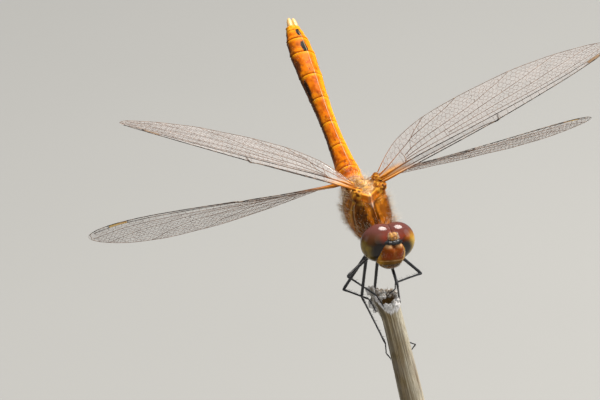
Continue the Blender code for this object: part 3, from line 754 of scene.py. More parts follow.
RING_SWELL = ((0, 0.93), (0.05, 0.99), (0.14, 1.02), (0.3, 0.985), (0.6, 0.98), (0.88, 1.0), (1, 0.965))
THORAX = (
    # x, half width, underside and back of the bare skin, under the coat
    (-2.85, 0.85, -0.75, 1.05), (-2.62, 1.0, -1.1, 1.15), (-2.3, 1.3, -1.75, 1.62),
    (-1.7, 1.7, -2.35, 2.42), (-0.7, 2.05, -2.72, 2.9), (0.5, 2.15, -2.83, 3.05),
    (1.6, 2.17, -2.85, 3.05), (2.5, 2.0, -2.85, 2.78), (3.0, 1.72, -2.8, 2.02),
    (3.45, 1.42, -2.7, 0.92), (3.8, 1.02, -2.42, -0.25), (3.93, 0.72, -2.2, -0.72),
)
COLLAR = (
    # the front collar and the neck
    (3.93, 0.72, -2.2, -0.72), (3.97, 0.86, -2.3, -0.5), (4.08, 0.84, -2.25, -0.5),
    (4.14, 0.7, -2.15, -0.78), (4.24, 0.62, -2.05, -0.84), (4.34, 0.42, -1.9, -1.0),
    (4.42, 0.34, -1.8, -1.12),
)
SHOULDER = 0.57
FRONT_SHOULDER = 0.86
THORAX_SWAY = 0.28
WING_STUMPS = (
    # place along and across the thorax, reach along and across, and rise
    (1.85, 1.2, 0.6, 0.55, 0.75), (0.9, 1.25, 0.6, 0.4, 0.45), (-0.55, 1.4, 0.7, 0.45, 0.6),
)
KEEL = 0.3
SKIN_AROUND = 144
WAIST = -3.1
HEAD_AT = (5.6, 0.1, -1.5)
HEAD_TURN = Euler((radians(-12), radians(-5), radians(5)))
TAIL_TIP = 3.2
ON_ABDOMEN, ON_THORAX, ON_COLLAR, ON_SKULL = range(4)
# Seams of the thorax's sides as (x, z): humeral, middle, rear and hind edge.
HUMERAL_SEAM = ((1.75, 2.9), (2.3, 2.0), (2.75, 0.0), (2.6, -2.2))
MIDDLE_SEAM = ((0.75, 2.9), (1.2, 1.4), (1.35, 0.4), (1.6, -0.5), (1.7, -2.4))
REAR_SEAM = ((-0.8, 2.7), (-0.1, 1.0), (0.3, -1.2), (0.6, -2.5))
HIND_EDGE = ((-1.8, 2.2), (-2.2, 0.5), (-1.6, -1.6))
ORANGE = (0.74, 0.18, 0.002)
DEEP_ORANGE = (0.46, 0.075, 0.001)
AMBER = (0.95, 0.42, 0.012)
JOINT_BROWN = (0.16, 0.03, 0.005)
RED_TINT = (0.6, 0.085, 0.012)
BLACK = (0.011, 0.008, 0.007)
CREAM = (0.87, 0.72, 0.46)
OCHRE = (0.36, 0.105, 0.006)
OLIVE = (0.4, 0.19, 0.035)
UMBER = (0.06, 0.022, 0.006)
YELLOW = (0.92, 0.55, 0.09)

head_in_body = Matrix.Translation(HEAD_AT) @ HEAD_TURN.to_matrix().to_4x4()
head_place = body_place @ head_in_body


def smooth_row(rows, at):
    """A table's values at a place along its first column, on one smooth curve."""
    if at <= rows[0][0]:
        return rows[0][1:]
    if at >= rows[-1][0]:
        return rows[-1][1:]
    k = max(i for i in range(len(rows) - 1) if rows[i][0] <= at)
    a, b = rows[k], rows[k + 1]
    before, after = rows[max(k - 1, 0)], rows[min(k + 2, len(rows) - 1)]
    span = b[0] - a[0]
    t = (at - a[0]) / span
    made = []
    for p, q, r, s in zip(before[1:], a[1:], b[1:], after[1:]):
        leave = (r - p) / (b[0] - before[0]) * span
        reach = (s - q) / (after[0] - a[0]) * span
        made.append(
            q * (2 * t**3 - 3 * t**2 + 1) + leave * (t**3 - 2 * t**2 + t)
            + r * (3 * t**2 - 2 * t**3) + reach * (t**3 - t**2)
        )
    return tuple(made)


def abdomen_direction(share):
    """Which way the abdomen's centre line runs at a share of its length."""
    rise = ABDOMEN_RISE[0] + (ABDOMEN_RISE[1] - ABDOMEN_RISE[0]) * share
    veer = ABDOMEN_VEER[0] + (ABDOMEN_VEER[1] - ABDOMEN_VEER[0]) * share
    return Vector((-cos(rise) * cos(veer), -sin(veer), sin(rise) * cos(veer)))


def abdomen_frame(distance):
    """The abdomen's centre line: its place, and its left side, up and tailward directions."""
    spot = ABDOMEN_START.copy()
    for i in range(40):
        spot += abdomen_direction(distance * (i + 0.5) / 40 / ABDOMEN_LENGTH) * distance / 40
    tailward = abdomen_direction(distance / ABDOMEN_LENGTH)
    left = -Vector((0, 0, 1)).cross(tailward).normalized()
    up = left.cross(tailward)
    lean = ABDOMEN_LEAN * ease(distance, 0.0, 2.0) + TIP_LEAN * ease(distance, 8.0, 19.0)
    return spot, left * cos(lean) - up * sin(lean), up * cos(lean) + left * sin(lean), tailward


def abdomen_station(distance):
    """Which segment a distance falls in, how far along it, and its size there."""
    start = 0.0
    for k, (_, length, width, height) in enumerate(ABDOMEN):
        if distance <= start + length or k == len(ABDOMEN) - 1:
            break
        start += length
    share = min(1.0, (distance - start) / length)
    next_width, next_height = ABDOMEN[k + 1][2:] if k < len(ABDOMEN) - 1 else ABDOMEN_END
    swell = smooth_row(RING_SWELL, share)[0]
    width = (width + (next_width - width) * share) * swell
    height = (height + (next_height - height) * share) * swell
    return k, share, length, width, height


def abdomen_shape(distance, a):
    """Across and lift of the abdomen's outline; a runs from the belly round by the left."""
    _, _, _, width, height = abdomen_station(distance)
    up = -cos(a)
    if up > 0:
        lift = ABDOMEN_BACK * height * ((1 - ABDOMEN_ROOF) * up + ABDOMEN_ROOF * (1 - abs(sin(a))))
    else:
        lift = -(1 - ABDOMEN_BACK) * height * abs(up) ** ABDOMEN_BELLY
    return width * sin(a) * ABDOMEN_SKIN, lift * ABDOMEN_SKIN


def trunk_shape(half, low, high, shoulder, a):
    """Across and lift of a thorax outline: widest at mid height, with a flat narrower back."""
    across = abs(sin(a)) ** 0.75 * (1 if sin(a) > 0 else -1)
    up = abs(cos(a)) ** 0.8 * (-1 if cos(a) > 0 else 1)
    narrowing = 1 - (1 - shoulder) * max(0.0, up) ** 2 - KEEL * max(0.0, -up) ** 2
    return half * across * narrowing, (low + high) / 2 + (high - low) / 2 * up


def skin_stations():
    """The rows of the skin: (place along the body, kind, its own measure)."""
    rows = [(-ABDOMEN_LENGTH - TAIL_TIP, "tip", ABDOMEN_LENGTH + 0.05)]
    ends = [0.0]
    for _, length, _, _ in ABDOMEN:
        ends.append(ends[-1] + length)
    for k in reversed(range(len(ABDOMEN))):
        length = ABDOMEN[k][1]
        near = (0.015, 0.045, 0.08, 0.13, 0.2)
        count = max(2, round((length - 0.4) / 0.16))
        middle = [0.2 + (length - 0.4) * i / count for i in range(1, count)]
        places = sorted({*near, *middle, *(length - n for n in near)}, reverse=True)
        rows += [(WAIST - ends[k] - p, "abdomen", ends[k] + p) for p in places if 0 < p < length]
    rows += [(-3.05 + 0.05 * i, "waist", i / 4) for i in range(1, 4)]
    rows += [(-2.85 + 6.78 * i / 128, "thorax", -2.85 + 6.78 * i / 128) for i in range(129)]
    rows += [(3.93 + 0.49 * i / 20, "collar", 3.93 + 0.49 * i / 20) for i in range(1, 21)]
    rows += [(4.45 + 0.03 * i, "skull", i / 22) for i in range(23)]
    return rows


# Outline of the skull in the head's frame: x, half width, lowest and highest.
SKULL = (
    (-1.14, 0.34, -0.62, 0.1), (-1.13, 0.9, -1.05, 0.75), (-1.1, 1.35, -1.35, 1.2),
    (-0.98, 1.62, -1.6, 1.5), (-0.7, 1.72, -1.75, 1.62), (-0.2, 1.75, -1.8, 1.6),
    (0.3, 1.5, -1.65, 1.3), (0.6, 0.9, -1.2, 0.8), (0.72, 0.05, -0.35, -0.1),
)
skull_steps = [0.0]
for near_row, far_row in zip(SKULL, SKULL[1:]):
    skull_steps.append(skull_steps[-1] + hypot(far_row[0] - near_row[0], far_row[1] - near_row[1]))
SKULL_TURN = tuple((step / skull_steps[-1], *row) for step, row in zip(skull_steps, SKULL))

STATIONS = skin_stations()
FRAMES = {row: abdomen_frame(row[2]) for row in STATIONS if row[1] in ("tip", "abdomen")}
NECK_FROM = abdomen_frame(0.02)


def skin_angle(share):
    """The angle round the body, with its corners closer together along the back."""
    c = 2 * share - 1
    return pi + pi * abs(c) ** 1.25 * (1 if c > 0 else -1)


def thorax_sway(x):
    """How far the thorax stands to the right of the line from head to tail."""
    return THORAX_SWAY * ease(x, -3.3, -2.2) * (1 - ease(x, 3.2, 4.1))


def skin_point(share, row):
    """A corner of the skin before its relief, in the body's frame."""
    a = skin_angle(share)
    _, kind, measure = station = STATIONS[row]
    if kind == "tip":
        return FRAMES[station][0].copy()
    if kind == "abdomen":
        spot, left, up, _ = FRAMES[station]
        across, lift = abdomen_shape(measure, a)
        return spot + left * across + up * lift
    if kind == "waist":
        spot, left, up, _ = NECK_FROM
        across, lift = abdomen_shape(0.0, a)
        near = spot + (left * across + up * lift) * 0.93
        half, low, high = THORAX[0][1:]
        across, lift = trunk_shape(half, low, high, 0.77, a)
        return near.lerp(Vector((THORAX[0][0], across - thorax_sway(THORAX[0][0]), lift)), measure)
    if kind == "thorax":
        half, low, high = smooth_row(THORAX, measure)
        shoulder = SHOULDER + 0.2 * ease(-measure, 1.8, 2.8)
        shoulder += (FRONT_SHOULDER - SHOULDER) * ease(measure, 1.5, 2.2)
        across, lift = trunk_shape(half, low, high, shoulder, a)
        sway = thorax_sway(measure) * (1 - 0.9 * ease(lift, 1.0, 2.3) * ease(across, 0.4, 1.3))
        for along, out, long, wide, rise in WING_STUMPS:
            stump = hump(measure, along, long) * hump(abs(across), out, wide)
            lift += rise * stump * ease(lift, 1.5, 2.4)
        return Vector((measure, across - sway, lift))
    if kind == "collar":
        half, low, high = smooth_row(COLLAR, measure)
        across, lift = trunk_shape(half, low, high, 0.85, a)
        return Vector((measure, across, lift))
    x, half, low, high = smooth_row(SKULL_TURN, measure)
    across, lift = trunk_shape(half, low, high, 0.95, a)
    at = head_in_body @ Vector((x, across, lift))
    if measure == 1.0:
        at = head_in_body @ Vector((0.72, 0, -0.22))
    return at


def skin_note(share, row):
    """What each corner remembers: its place along the body, its share round it, its kind."""
    place, kind, _ = STATIONS[row]
    kinds = {"thorax": ON_THORAX, "collar": ON_COLLAR, "skull": ON_SKULL}
    return place, share, kinds.get(kind, ON_ABDOMEN)


def seam_gap(seam, x, z):
    """Signed distance behind (-) or in front (+) of a seam, in the side view."""
    best, sign = 9.0, 1.0
    for (ax, az), (bx, bz) in zip(seam, seam[1:]):
        along, up = bx - ax, bz - az
        t = max(0.0, min(1.0, ((x - ax) * along + (z - az) * up) / (along * along + up * up)))
        near = hypot(x - ax - along * t, z - az - up * t)
        if near < best:
            best = near
            sign = 1.0 if (x - ax) * up - (z - az) * along < 0 else -1.0
    return best * sign


def thorax_relief(at):
    """How far the thorax's skin stands up or is let in at a place: seams, ridges and plates."""
    x, y, z = at
    y += thorax_sway(x)
    side = ease(abs(y), 0.7, 1.2)
    raised = 0.0
    for seam, depth, width in (
        (HUMERAL_SEAM, 0.09, 0.07), (MIDDLE_SEAM, 0.055, 0.06), (REAR_SEAM, 0.07, 0.06),
        (HIND_EDGE, 0.06, 0.08),
    ):
        gap = seam_gap(seam, x, z)
        raised -= side * depth * hump(gap, 0, width)
        raised += side * 0.03 * hump(gap, 0.2, 0.12)
    front = ease(x, 2.2, 2.6) * (1 - ease(x, 3.7, 3.9)) * ease(z, -0.4, 0.3)
    raised += front * (0.11 * hump(y, 0, 0.05) - 0.05 * hump(abs(y), 0.16, 0.09))
    raised += front * 0.05 * hump(abs(y), 0.85, 0.4)
    # The ridge in front of the wings, and the sunken back with its shields between them.
    crest = 2.72 - 0.42 * abs(y)
    raised += 0.17 * hump(x, crest, 0.11) * hump(z, 2.6, 0.65) * (1 - ease(abs(y), 1.45, 1.8))
    raised -= 0.1 * hump(x, crest + 0.26, 0.1) * ease(z, 1.9, 2.3)
    back = ease(z, 2.1, 2.6) * (1 - ease(x, 1.9, 2.15)) * ease(x, -2.3, -1.7)
    raised -= 0.3 * back * (1 - ease(abs(y), 1.0, 1.5))
    for middle, length, width, height in (
        (1.45, 0.38, 0.62, 0.34), (0.62, 0.2, 0.42, 0.4), (-0.35, 0.34, 0.55, 0.3),
        (-1.15, 0.22, 0.4, 0.36),
    ):
        raised += height * back * hump(x, middle, length) * hump(y, 0, width)
    for middle in (1.05, -0.75):
        raised += 0.2 * back * hump(x, middle, 0.28) * hump(abs(y), 0.72, 0.22)
    # Rounded shoulders under the front wings with a crease below, and the breathing hole.
    raised += 0.1 * hump(x, 2.1, 0.36) * hump(abs(y), 1.3, 0.45) * hump(z, 2.8, 0.4)
    raised -= 0.12 * side * hump(z - 0.25 * (x - 2), 2.0, 0.09) * hump(x, 2.15, 0.5)
    hole = hypot((x - 1.1) / 0.2, (z + 0.3) / 0.34)
    raised += side * (0.06 * hump(hole, 1.0, 0.3) - 0.09 * hump(hole, 0, 0.7))
    # Sockets for the legs along the keel, and a fine unevenness all over.
    for middle in (3.15, 2.1, 0.95):
        raised += 0.1 * hump(x, middle, 0.4) * hump(abs(y), 0.75, 0.4) * ease(-z, 2.0, 2.6)
    return raised + 0.02 * noise.noise(at * 2.6) + 0.008 * noise.noise(at * 9)


def abdomen_relief(place, share):
    """Rings, ridges and seams of the abdomen: raised back edges, grooves, keels and folds."""
    k, along, length, width, _ = abdomen_station(max(0.0, WAIST - place))
    from_front, from_back = along * length, (1 - along) * length
    turn = abs(skin_angle(share) - pi)
    raised = 0.045 * hump(from_back, 0.1, 0.08) - 0.03 * hump(from_back, 0.0, 0.035)
    raised -= 0.06 * hump(from_front, 0.0, 0.05)
    raised += 0.03 * hump(from_front, 0.28, 0.1) - 0.025 * hump(from_front, 0.42, 0.07)
    where = Vector((place * 2.2, turn * 2.6, k * 4.0))
    raised += 0.028 * noise.noise(where) + 0.012 * noise.noise(where * 3)
    ridge = 0.05 * hump(turn * width, 0, 0.035)
    raised += ridge * (1 - hump(from_front, 0, 0.08))
    if k in (1, 2):
        fold = 0.9 if k == 1 else 0.75
        raised += 0.022 * hump(from_front, fold, 0.05)
        raised -= 0.015 * hump(from_front, fold + 0.09, 0.05)
    if k > 1:
        raised += 0.03 * hump(turn, 1.95, 0.06) - 0.03 * hump(turn, 2.12, 0.09)
    belly = ease(turn, 2.45, 2.75)
    raised -= 0.09 * belly * (1 - 0.5 * hump(from_back, 0.1, 0.12))
    raised += 0.05 * hump(turn, 2.42, 0.08)
    dimple = hypot((from_front - 0.62) / 0.1, (turn * width - 0.42) / 0.07)
    if k in (2, 3, 4, 5, 6):
        raised -= 0.035 * hump(dimple, 0, 1.0)
    return raised


def skin_relief(station, at):
    """How far the skin stands up at a corner, wherever on the body it is."""
    place, share, kind = station
    if kind == ON_ABDOMEN:
        if place > WAIST:
            return 0.0
        fading = 1 - ease(-place, ABDOMEN_LENGTH + 3.05, ABDOMEN_LENGTH + TAIL_TIP)
        return abdomen_relief(place, share) * fading
    if kind == ON_THORAX:
        return thorax_relief(at)
    if kind == ON_COLLAR:
        return 0.03 * noise.noise(at * 4) + 0.05 * hump(abs(share - 0.5), 0.1, 0.06)
    return 0.0


def abdomen_tone(place, share):
    """Markings of the abdomen: orange with red tints, pale keel, dark joints, spots, streaks, painted
    light and shade.
    """
    distance = WAIST - place
    k, along, length, width, _ = abdomen_station(max(0.0, distance))
    from_front, from_back = along * length, (1 - along) * length
    right = skin_angle(share) - pi
    turn = abs(right)
    ripple = noise.noise(Vector((distance * 1.1, turn * 1.5, k * 3.0)))
    blotch = noise.noise(Vector((distance * 3.4, right * 4.0, k * 5.0)))
    tone = mixed(ORANGE, DEEP_ORANGE, 0.9 * ease(ripple + 0.5 * blotch, -0.2, 0.4))
    # Painted light: golden flanks, strong on the lit left side and faint on the right.
    lit_gold = mixed(AMBER, (0.86, 0.34, 0.008), ease(distance, 11, 16))
    tone = mixed(tone, lit_gold, ease(turn + 0.25 * ripple, 0.05, 0.7) * (0.9 if right < 0 else 0.1))
    flush = hump(distance, 2.2, 1.3) * ease(ripple + 0.4 * blotch, -0.2, 0.3)
    tone = mixed(tone, RED_TINT, 0.5 * flush)
    tone = mixed(tone, AMBER, 0.75 * hump(from_back, 0.14, 0.17) + 0.3 * hump(from_front, 0.3, 0.16))
    # Painted shade: a dark band low on the right flank, away from the light.
    shaded_flank = ease(right + 0.15 * blotch - 0.3 * ease(distance, 13, 16), 0.9, 1.4)
    shaded_flank *= 1 - ease(right, 1.9, 2.2)
    tone = mixed(tone, (0.06, 0.018, 0.004), 0.92 * shaded_flank * ease(distance, 2.5, 5))
    # Streaks low on the sides of the sixth to eighth segments, both sides alike.
    if k in (5, 6, 7):
        middle, long, weight = {5: (0.5, 0.42, 0.95), 6: (0.5, 0.3, 0.9), 7: (0.4, 0.4, 0.5)}[k]
        streak = hump(turn, 1.22, 0.26) * hump(from_front, middle * length, long * length)
        streak_tone = mixed(BLACK, JOINT_BROWN, 0.3 * (k - 5))
        tone = mixed(tone, streak_tone, weight * ease(streak + 0.25 * blotch, 0.15, 0.65))
    # Two dark dimples a third of the way along each middle segment, and cross folds.
    if k in (2, 3, 4, 5, 6):
        dimple = hypot((from_front - 0.62) / 0.11, (turn * width - 0.42) / 0.09)
        tone = mixed(tone, JOINT_BROWN, 0.95 * hump(dimple, 0, 1.1))
        fold = hump(from_front, 0.36 + 0.06 * blotch, 0.05) * ease(blotch + 0.3 * ripple, -0.1, 0.3)
        tone = mixed(tone, JOINT_BROWN, 0.45 * fold)
    if k in (1, 2):
        fold = 0.99 if k == 1 else 0.84
        tone = mixed(tone, JOINT_BROWN, 0.75 * hump(from_front, fold, 0.07) * (1 - hump(turn, 0, 0.1)))
    # Painted shade: a brown patch right of the keel in the middle of the eighth segment.
    if k == 7:
        tone = mixed(tone, JOINT_BROWN, 0.55 * hump(from_front, 1.0, 0.35) * hump(right, 0.55, 0.4))
    # Long black marks beside the keel on the eighth and ninth segments.
    if k in (7, 8):
        reach = (0.44 if right > 0 else 0.2) * (1.0 if k == 7 else 0.7)
        middle, long = (0.62, 0.86) if k == 7 else (0.72, 0.55)
        mark = hump(turn * width, 0.05, reach) * hump(from_front, middle, long)
        tone = mixed(tone, BLACK, ease(mark + 0.2 * blotch, 0.32, 0.5))
    keel = hump(turn * width, 0, 0.03) * ease(distance, 1.4, 3.4) * (1 - ease(distance, 20.4, 21.2))
    tone = mixed(tone, CREAM, 0.85 * keel * (0.75 + 0.5 * ripple))
    groove = max(hump(from_front, 0.0, 0.04), 0.9 * hump(from_back, 0.0, 0.02))
    tone = mixed(tone, JOINT_BROWN, (0.9 if 0 < k < 9 else 0.5) * groove)
    under = ease(turn, 2.0, 2.35)
    belly = mixed((0.5, 0.29, 0.1), BLACK, 0.8 * hump(turn, 2.45, 0.13))
    belly = mixed(belly, (0.3, 0.26, 0.22), 0.6 * ease(turn, 2.6, 2.9))
    tone = mixed(tone, belly, under)
    tone = mixed(tone, BLACK, 0.85 * hump(turn, 1.98, 0.07) * ease(distance, 2.4, 4))
    if k == 9:
        tone = mixed(tone, AMBER, 0.6 * (1 - under))
    if k == 0:
        tone = mixed(tone, UMBER, 0.45 * ease(turn, 0.3, 0.9) * (1 - ease(turn, 1.2, 1.7)))
    return tone


def thorax_tone(at):
    """Markings of the thorax: orange front plates, a brown wash that is mostly painted shade on the
    right, pale seams, olive sides.
    """
    x, y, z = at
    y += thorax_sway(x)
    grain = noise.noise(at * 1.7)
    fleck = noise.noise(at * 5.5)
    ahead = seam_gap(HUMERAL_SEAM, x, z)
    side = ease(abs(y), 0.8, 1.2)
    plate = 1 - side * (1 - ease(ahead, -0.04, 0.08))
    right = ease(-y, 0.1, 0.3)
    tone = mixed(OCHRE, (0.78, 0.26, 0.012), ease(grain + 0.5 * fleck, -0.25, 0.4))
    edge = ease(abs(y) + 0.35 * fleck, 0.62 - 0.1 * right, 1.15 - 0.15 * right)
    edge *= 1 - 0.5 * ease(abs(y), 1.6, 1.9)
    # A brown wash on the front plates: faint on both, with painted shade making it strong on the right
    # plate.
    wash_and_shade = edge * (1 - ease(z, 1.95, 2.2)) * ease(z + 0.6 * fleck, -1.4, 0.2 - 0.8 * right)
    tone = mixed(tone, UMBER, min(1.0, wash_and_shade * (0.15 + 0.8 * right) * (0.85 + 0.6 * fleck)))
    tone = mixed(tone, UMBER, 0.6 * hump(abs(y), 0.24, 0.12))
    for height in (2.02, 2.26):
        streak = hump(z, height + 0.1 * (abs(y) - 1.0), 0.035) * hump(abs(y), 1.0, 0.5)
        tone = mixed(tone, YELLOW, 0.6 * streak)
    side_tone = mixed((0.3, 0.1, 0.008), (0.6, 0.22, 0.015), ease(grain + 0.4 * fleck, -0.25, 0.35))
    side_tone = mixed(side_tone, OLIVE, ease(-x, -0.6, 0.6))
    side_tone = mixed(side_tone, OCHRE, 0.7 * hump(ahead, -0.45, 0.3))
    side_tone = mixed(side_tone, YELLOW, 0.35 * hump(x, 2.05, 0.25) * ease(z, -1.0, 0.5))
    side_tone = mixed(side_tone, YELLOW, 0.3 * hump(x, -0.6, 0.5))
    tone = mixed(side_tone, tone, plate)
    for seam, weight in ((MIDDLE_SEAM, 0.55), (REAR_SEAM, 0.85), (HIND_EDGE, 0.6)):
        gap = seam_gap(seam, x, z)
        tone = mixed(tone, BLACK, side * weight * hump(gap, 0, 0.055))
        tone = mixed(tone, CREAM, side * 0.25 * hump(gap, 0.17, 0.07))
    tone = mixed(tone, CREAM, 0.9 * side * hump(ahead, 0.0, 0.06) * ease(z, -1.5, 0.8))
    tone = mixed(tone, BLACK, 0.85 * side * hump(ahead, -0.12, 0.05))
    hole = hypot((x - 1.1) / 0.2, (z + 0.3) / 0.34)
    tone = mixed(tone, BLACK, 0.9 * side * hump(hole, 0, 0.75))
    # The keel between the front plates, dark with a cream streak on top, and the yellow ridge.
    keel = hump(y, 0, 0.11) * ease(x, 2.25, 2.5) * ease(z, -0.5, 0.4)
    tone = mixed(tone, (0.13, 0.035, 0.012), 0.95 * keel)
    wedge = hump(y, 0.02, 0.06 + 0.16 * ease(z, 1.5, 2.3)) * ease(z, 1.45, 1.85)
    tone = mixed(tone, (0.9, 0.66, 0.5), 0.95 * wedge * ease(x, 2.15, 2.35))
    crest = 2.72 - 0.42 * abs(y)
    ridge = hump(x, crest, 0.14) * ease(z, 1.75, 2.1) * (1 - ease(abs(y), 1.5, 1.8))
    tone = mixed(tone, YELLOW, 0.9 * ridge)
    tone = mixed(tone, ORANGE, 0.75 * hump(x, crest + 0.2, 0.12) * ease(z, 1.7, 2.0))
    shade = hump(x, crest + 0.42, 0.06) * ease(z, 1.4, 1.7) * ease(abs(y), 0.1, 0.3)
    tone = mixed(tone, UMBER, 0.6 * shade)
    # The back between the wings: tawny shields with pale tops and dark gaps.
    back = ease(z, 2.1, 2.45) * (1 - ease(x, crest - 0.3, crest - 0.12)) * ease(x, -2.4, -1.9)
    shield = mixed((0.5, 0.24, 0.08), (0.75, 0.55, 0.3), ease(fleck + grain, -0.3, 0.5))
    for middle in (1.45, 0.62, -0.35, -1.15):
        shield = mixed(shield, YELLOW, 0.55 * hump(x, middle, 0.2) * hump(y, 0, 0.3))
    for gap in (0.95, 0.2, -0.8):
        shield = mixed(shield, UMBER, 0.8 * hump(x, gap, 0.08))
    tone = mixed(tone, shield, back)
    stump = ease(z + 0.15 * fleck, 2.4, 2.7) * ease(abs(y), 0.65, 0.95) * ease(x, -1.6, -1.2)
    knobs = noise.noise(Vector((x * 2.6, y * 2.2, z * 3.4)))
    tawny = mixed((0.4, 0.12, 0.008), (0.82, 0.38, 0.04), ease(knobs, -0.1, 0.25))
    dark = ease(noise.noise(Vector((x * 3.0, y * 5.0, z * 8.0))), 0.16, 0.34) * ease(-knobs, -0.1, 0.15)
    tone = mixed(tone, mixed(tawny, UMBER, 0.8 * dark), stump)
    tone = mixed(tone, BLACK, hump(y, -1.5, 0.26) * hump(z, 2.35, 0.24) * ease(x, 1.5, 1.8))
    under = ease(-z - 0.25 * hump(x, 2.3, 1.6), 1.75, 2.15)
    keel_tone = mixed((0.3, 0.19, 0.08), BLACK, ease(grain + 0.6 * hump(x, 2.0, 1.5), 0.05, 0.4))
    tone = mixed(tone, keel_tone, under)
    tone = mixed(tone, BLACK, 0.6 * side * ease(x, 2.0, 2.5) * hump(z, -1.75, 0.22))
    tone = mixed(tone, UMBER, 0.7 * ease(-x, 2.3, 2.7))
    return tone


def head_back_tone(share, place, at):
    """The back of the head: yellow with black patches, dark inside the face."""
    fleck = noise.noise(at * 3)
    height = abs(2 * share - 1)
    tone = mixed(YELLOW, OLIVE, ease(fleck, -0.2, 0.4))
    tone = mixed(tone, BLACK, 0.9 * hump(height, 0.42, 0.08) * ease(place, 4.5, 4.55))
    return mixed(tone, BLACK, ease(place, 4.86, 4.98))


def skin_tone(station, at):
    """The colour of the skin at a corner, wherever on the body it is."""
    place, share, kind = station
    if kind == ON_ABDOMEN:
        return abdomen_tone(place, share)
    if kind == ON_THORAX:
        tone = thorax_tone(at)
        if at.x < -2.6:
            return mixed(UMBER, tone, ease(at.x, -2.85, -2.6))
        return tone
    if kind == ON_COLLAR:
        pale = ease(noise.noise(at * 5) + 1.2 * (share - 0.5) ** 2, -0.2, 0.35)
        return mixed((0.24, 0.12, 0.04), YELLOW, 0.8 * pale)
    return head_back_tone(share, place, at)


hide, tree, shader, mottle, pore_bump = worn_finish(
    "skin_cuticle", 1400.0, (0.82, 0.74, 0.6), (0.42, 0.56), (0.22, 0.00002),
    Coat_Roughness=0.3, Specular_IOR_Level=0.07, Subsurface_Weight=0.12, Subsurface_Scale=0.6,
    Subsurface_Radius=(0.0006, 0.0002, 0.0001),
)
vary(tree, shader, "Coat Weight", mottle, 0.0, 0.06)
wrinkle = node(tree, "ShaderNodeTexVoronoi", Scale=9000.0, feature="SMOOTH_F1")
wire(tree, object_place(tree), wrinkle.inputs["Vector"])
bumped(tree, shader, wrinkle.outputs["Distance"], 0.18, 0.00002, pore_bump)


def embossed(piece, relief):
    """Moves each corner in or out along its normal by relief(corner), in millimetres."""
    moves = [corner.normal * relief(corner) for corner in piece.data.vertices]
    for corner, move in zip(piece.data.vertices, moves):
        corner.co += move
    return piece


skin = rolled(SKIN_AROUND, len(STATIONS) - 1, skin_point, skin_note)
skin_mesh = skin.data
stations = [station.vector.copy() for station in skin_mesh.attributes["station"].data]
embossed(skin, lambda corner: skin_relief(stations[corner.index], corner.co))
painted(skin, lambda corner: skin_tone(stations[corner.index], corner.co))

# Where hair may grow: each face's middle, facing, area, station, colour and place on the map.
skin_map = skin_mesh.uv_layers["UVMap"].data
skin_markings = skin_mesh.color_attributes["markings"].data
hair_beds = []
for face in skin_mesh.polygons:
    corners = [skin_mesh.vertices[i].co.copy() for i in face.vertices]
    station = stations[face.vertices[0]]
    spot = skin_map[face.loop_start].uv.copy()
    tone = tuple(skin_markings[face.vertices[0]].color[:3])
    hair_beds.append((corners, face.normal.copy(), face.area, station, tone, spot))
skin_mesh.attributes.remove(skin_mesh.attributes["station"])
skin_mesh.uv_layers["UVMap"].name = "OFBake"
ABDOMEN_NODES = [f"abdomen_{row[0]}" for row in ABDOMEN]
fitted(
    skin, "body_skin", body_place, [hide], "ochre_cuticle",
    "thorax", "prothorax", "head", *ABDOMEN_NODES,
)

# Coat: fine pale hairs in small tufts, long on the thorax's sides and keel, shorter on its
# front plates and between the wings, and a thin down on the collar and the abdomen's root.
HAIR = (0.98, 0.89, 0.68)
HAIR_WARM = (0.9, 0.66, 0.36)
HAIR_RADIUS = 0.0065

soft_hair = worn_finish(
    "coat_hair", 2500.0, (0.9, 0.87, 0.82), Roughness=0.5, Sheen_Weight=0.35,
    Sheen_Roughness=0.35, Subsurface_Weight=0.15, Subsurface_Scale=0.2,
)[0]


def thorax_hair(station, at, facing):
    """Tufts to the square millimetre, hair length and lie for a place on the thorax."""
    x, y, z = at
    if station[2] != ON_THORAX:
        return None
    crown = z > 2.3 and x < 2.3
    if crown and abs(y + THORAX_SWAY) > 0.85:
        return None
    if crown:
        return 15, 0.38, facing + Vector((0.3, 0, 0.3))
    plate = seam_gap(HUMERAL_SEAM, x, z) > 0.05 and z > -1.4
    if plate and x > 2.2:
        low = ease(-z, -1.2, 1.0)
        edge = ease(y, 1.0, 1.5)
        lean = Vector((0.1 + 0.3 * edge, 0.25 * facing.y, 0.8 - 0.6 * edge))
        lie = facing * (0.5 + 0.7 * edge) + lean
        return 6 + 34 * low + 50 * edge, 0.16 + 0.34 * low + 0.75 * edge, lie
    if z < -0.9 and y < -1.1 and x > 1.7:
        return 56, 0.4, facing + Vector((0.4, 0, 0.2))
    if z < -2.0:
        return 20, 0.55, facing + Vector((-0.25, 0, -0.1))
    back = ease(-x, -1.6, -0.4)
    return 5 + 16 * back, 0.36 + 0.36 * back, facing * 0.9 + Vector((-0.3, 0, 0.3))


def collar_hair(station, at, facing):
    """The same for the collar, the back of the head and the abdomen's first rings."""
    place, _, kind = station
    if kind == ON_ABDOMEN:
        distance = WAIST - place
        if distance < 0:
            return 14, 0.4, facing + Vector((-0.5, 0, 0.2))
        if distance < 2.4:
            return 16, 0.46 - 0.09 * distance, facing + Vector((-0.6, 0, 0.1))
        return 7, 0.085, facing * 0.45 + Vector((-0.9, 0, 0.4))
    if kind == ON_COLLAR:
        return 42, 0.45, facing + Vector((0.15, 0, 0.25))
    if kind == ON_SKULL and place < 4.62:
        return 36, 0.4, facing * 0.4 + Vector((-0.2, 0, 0.1)) + (at - head_in_body.translation) * 0.3
    return None


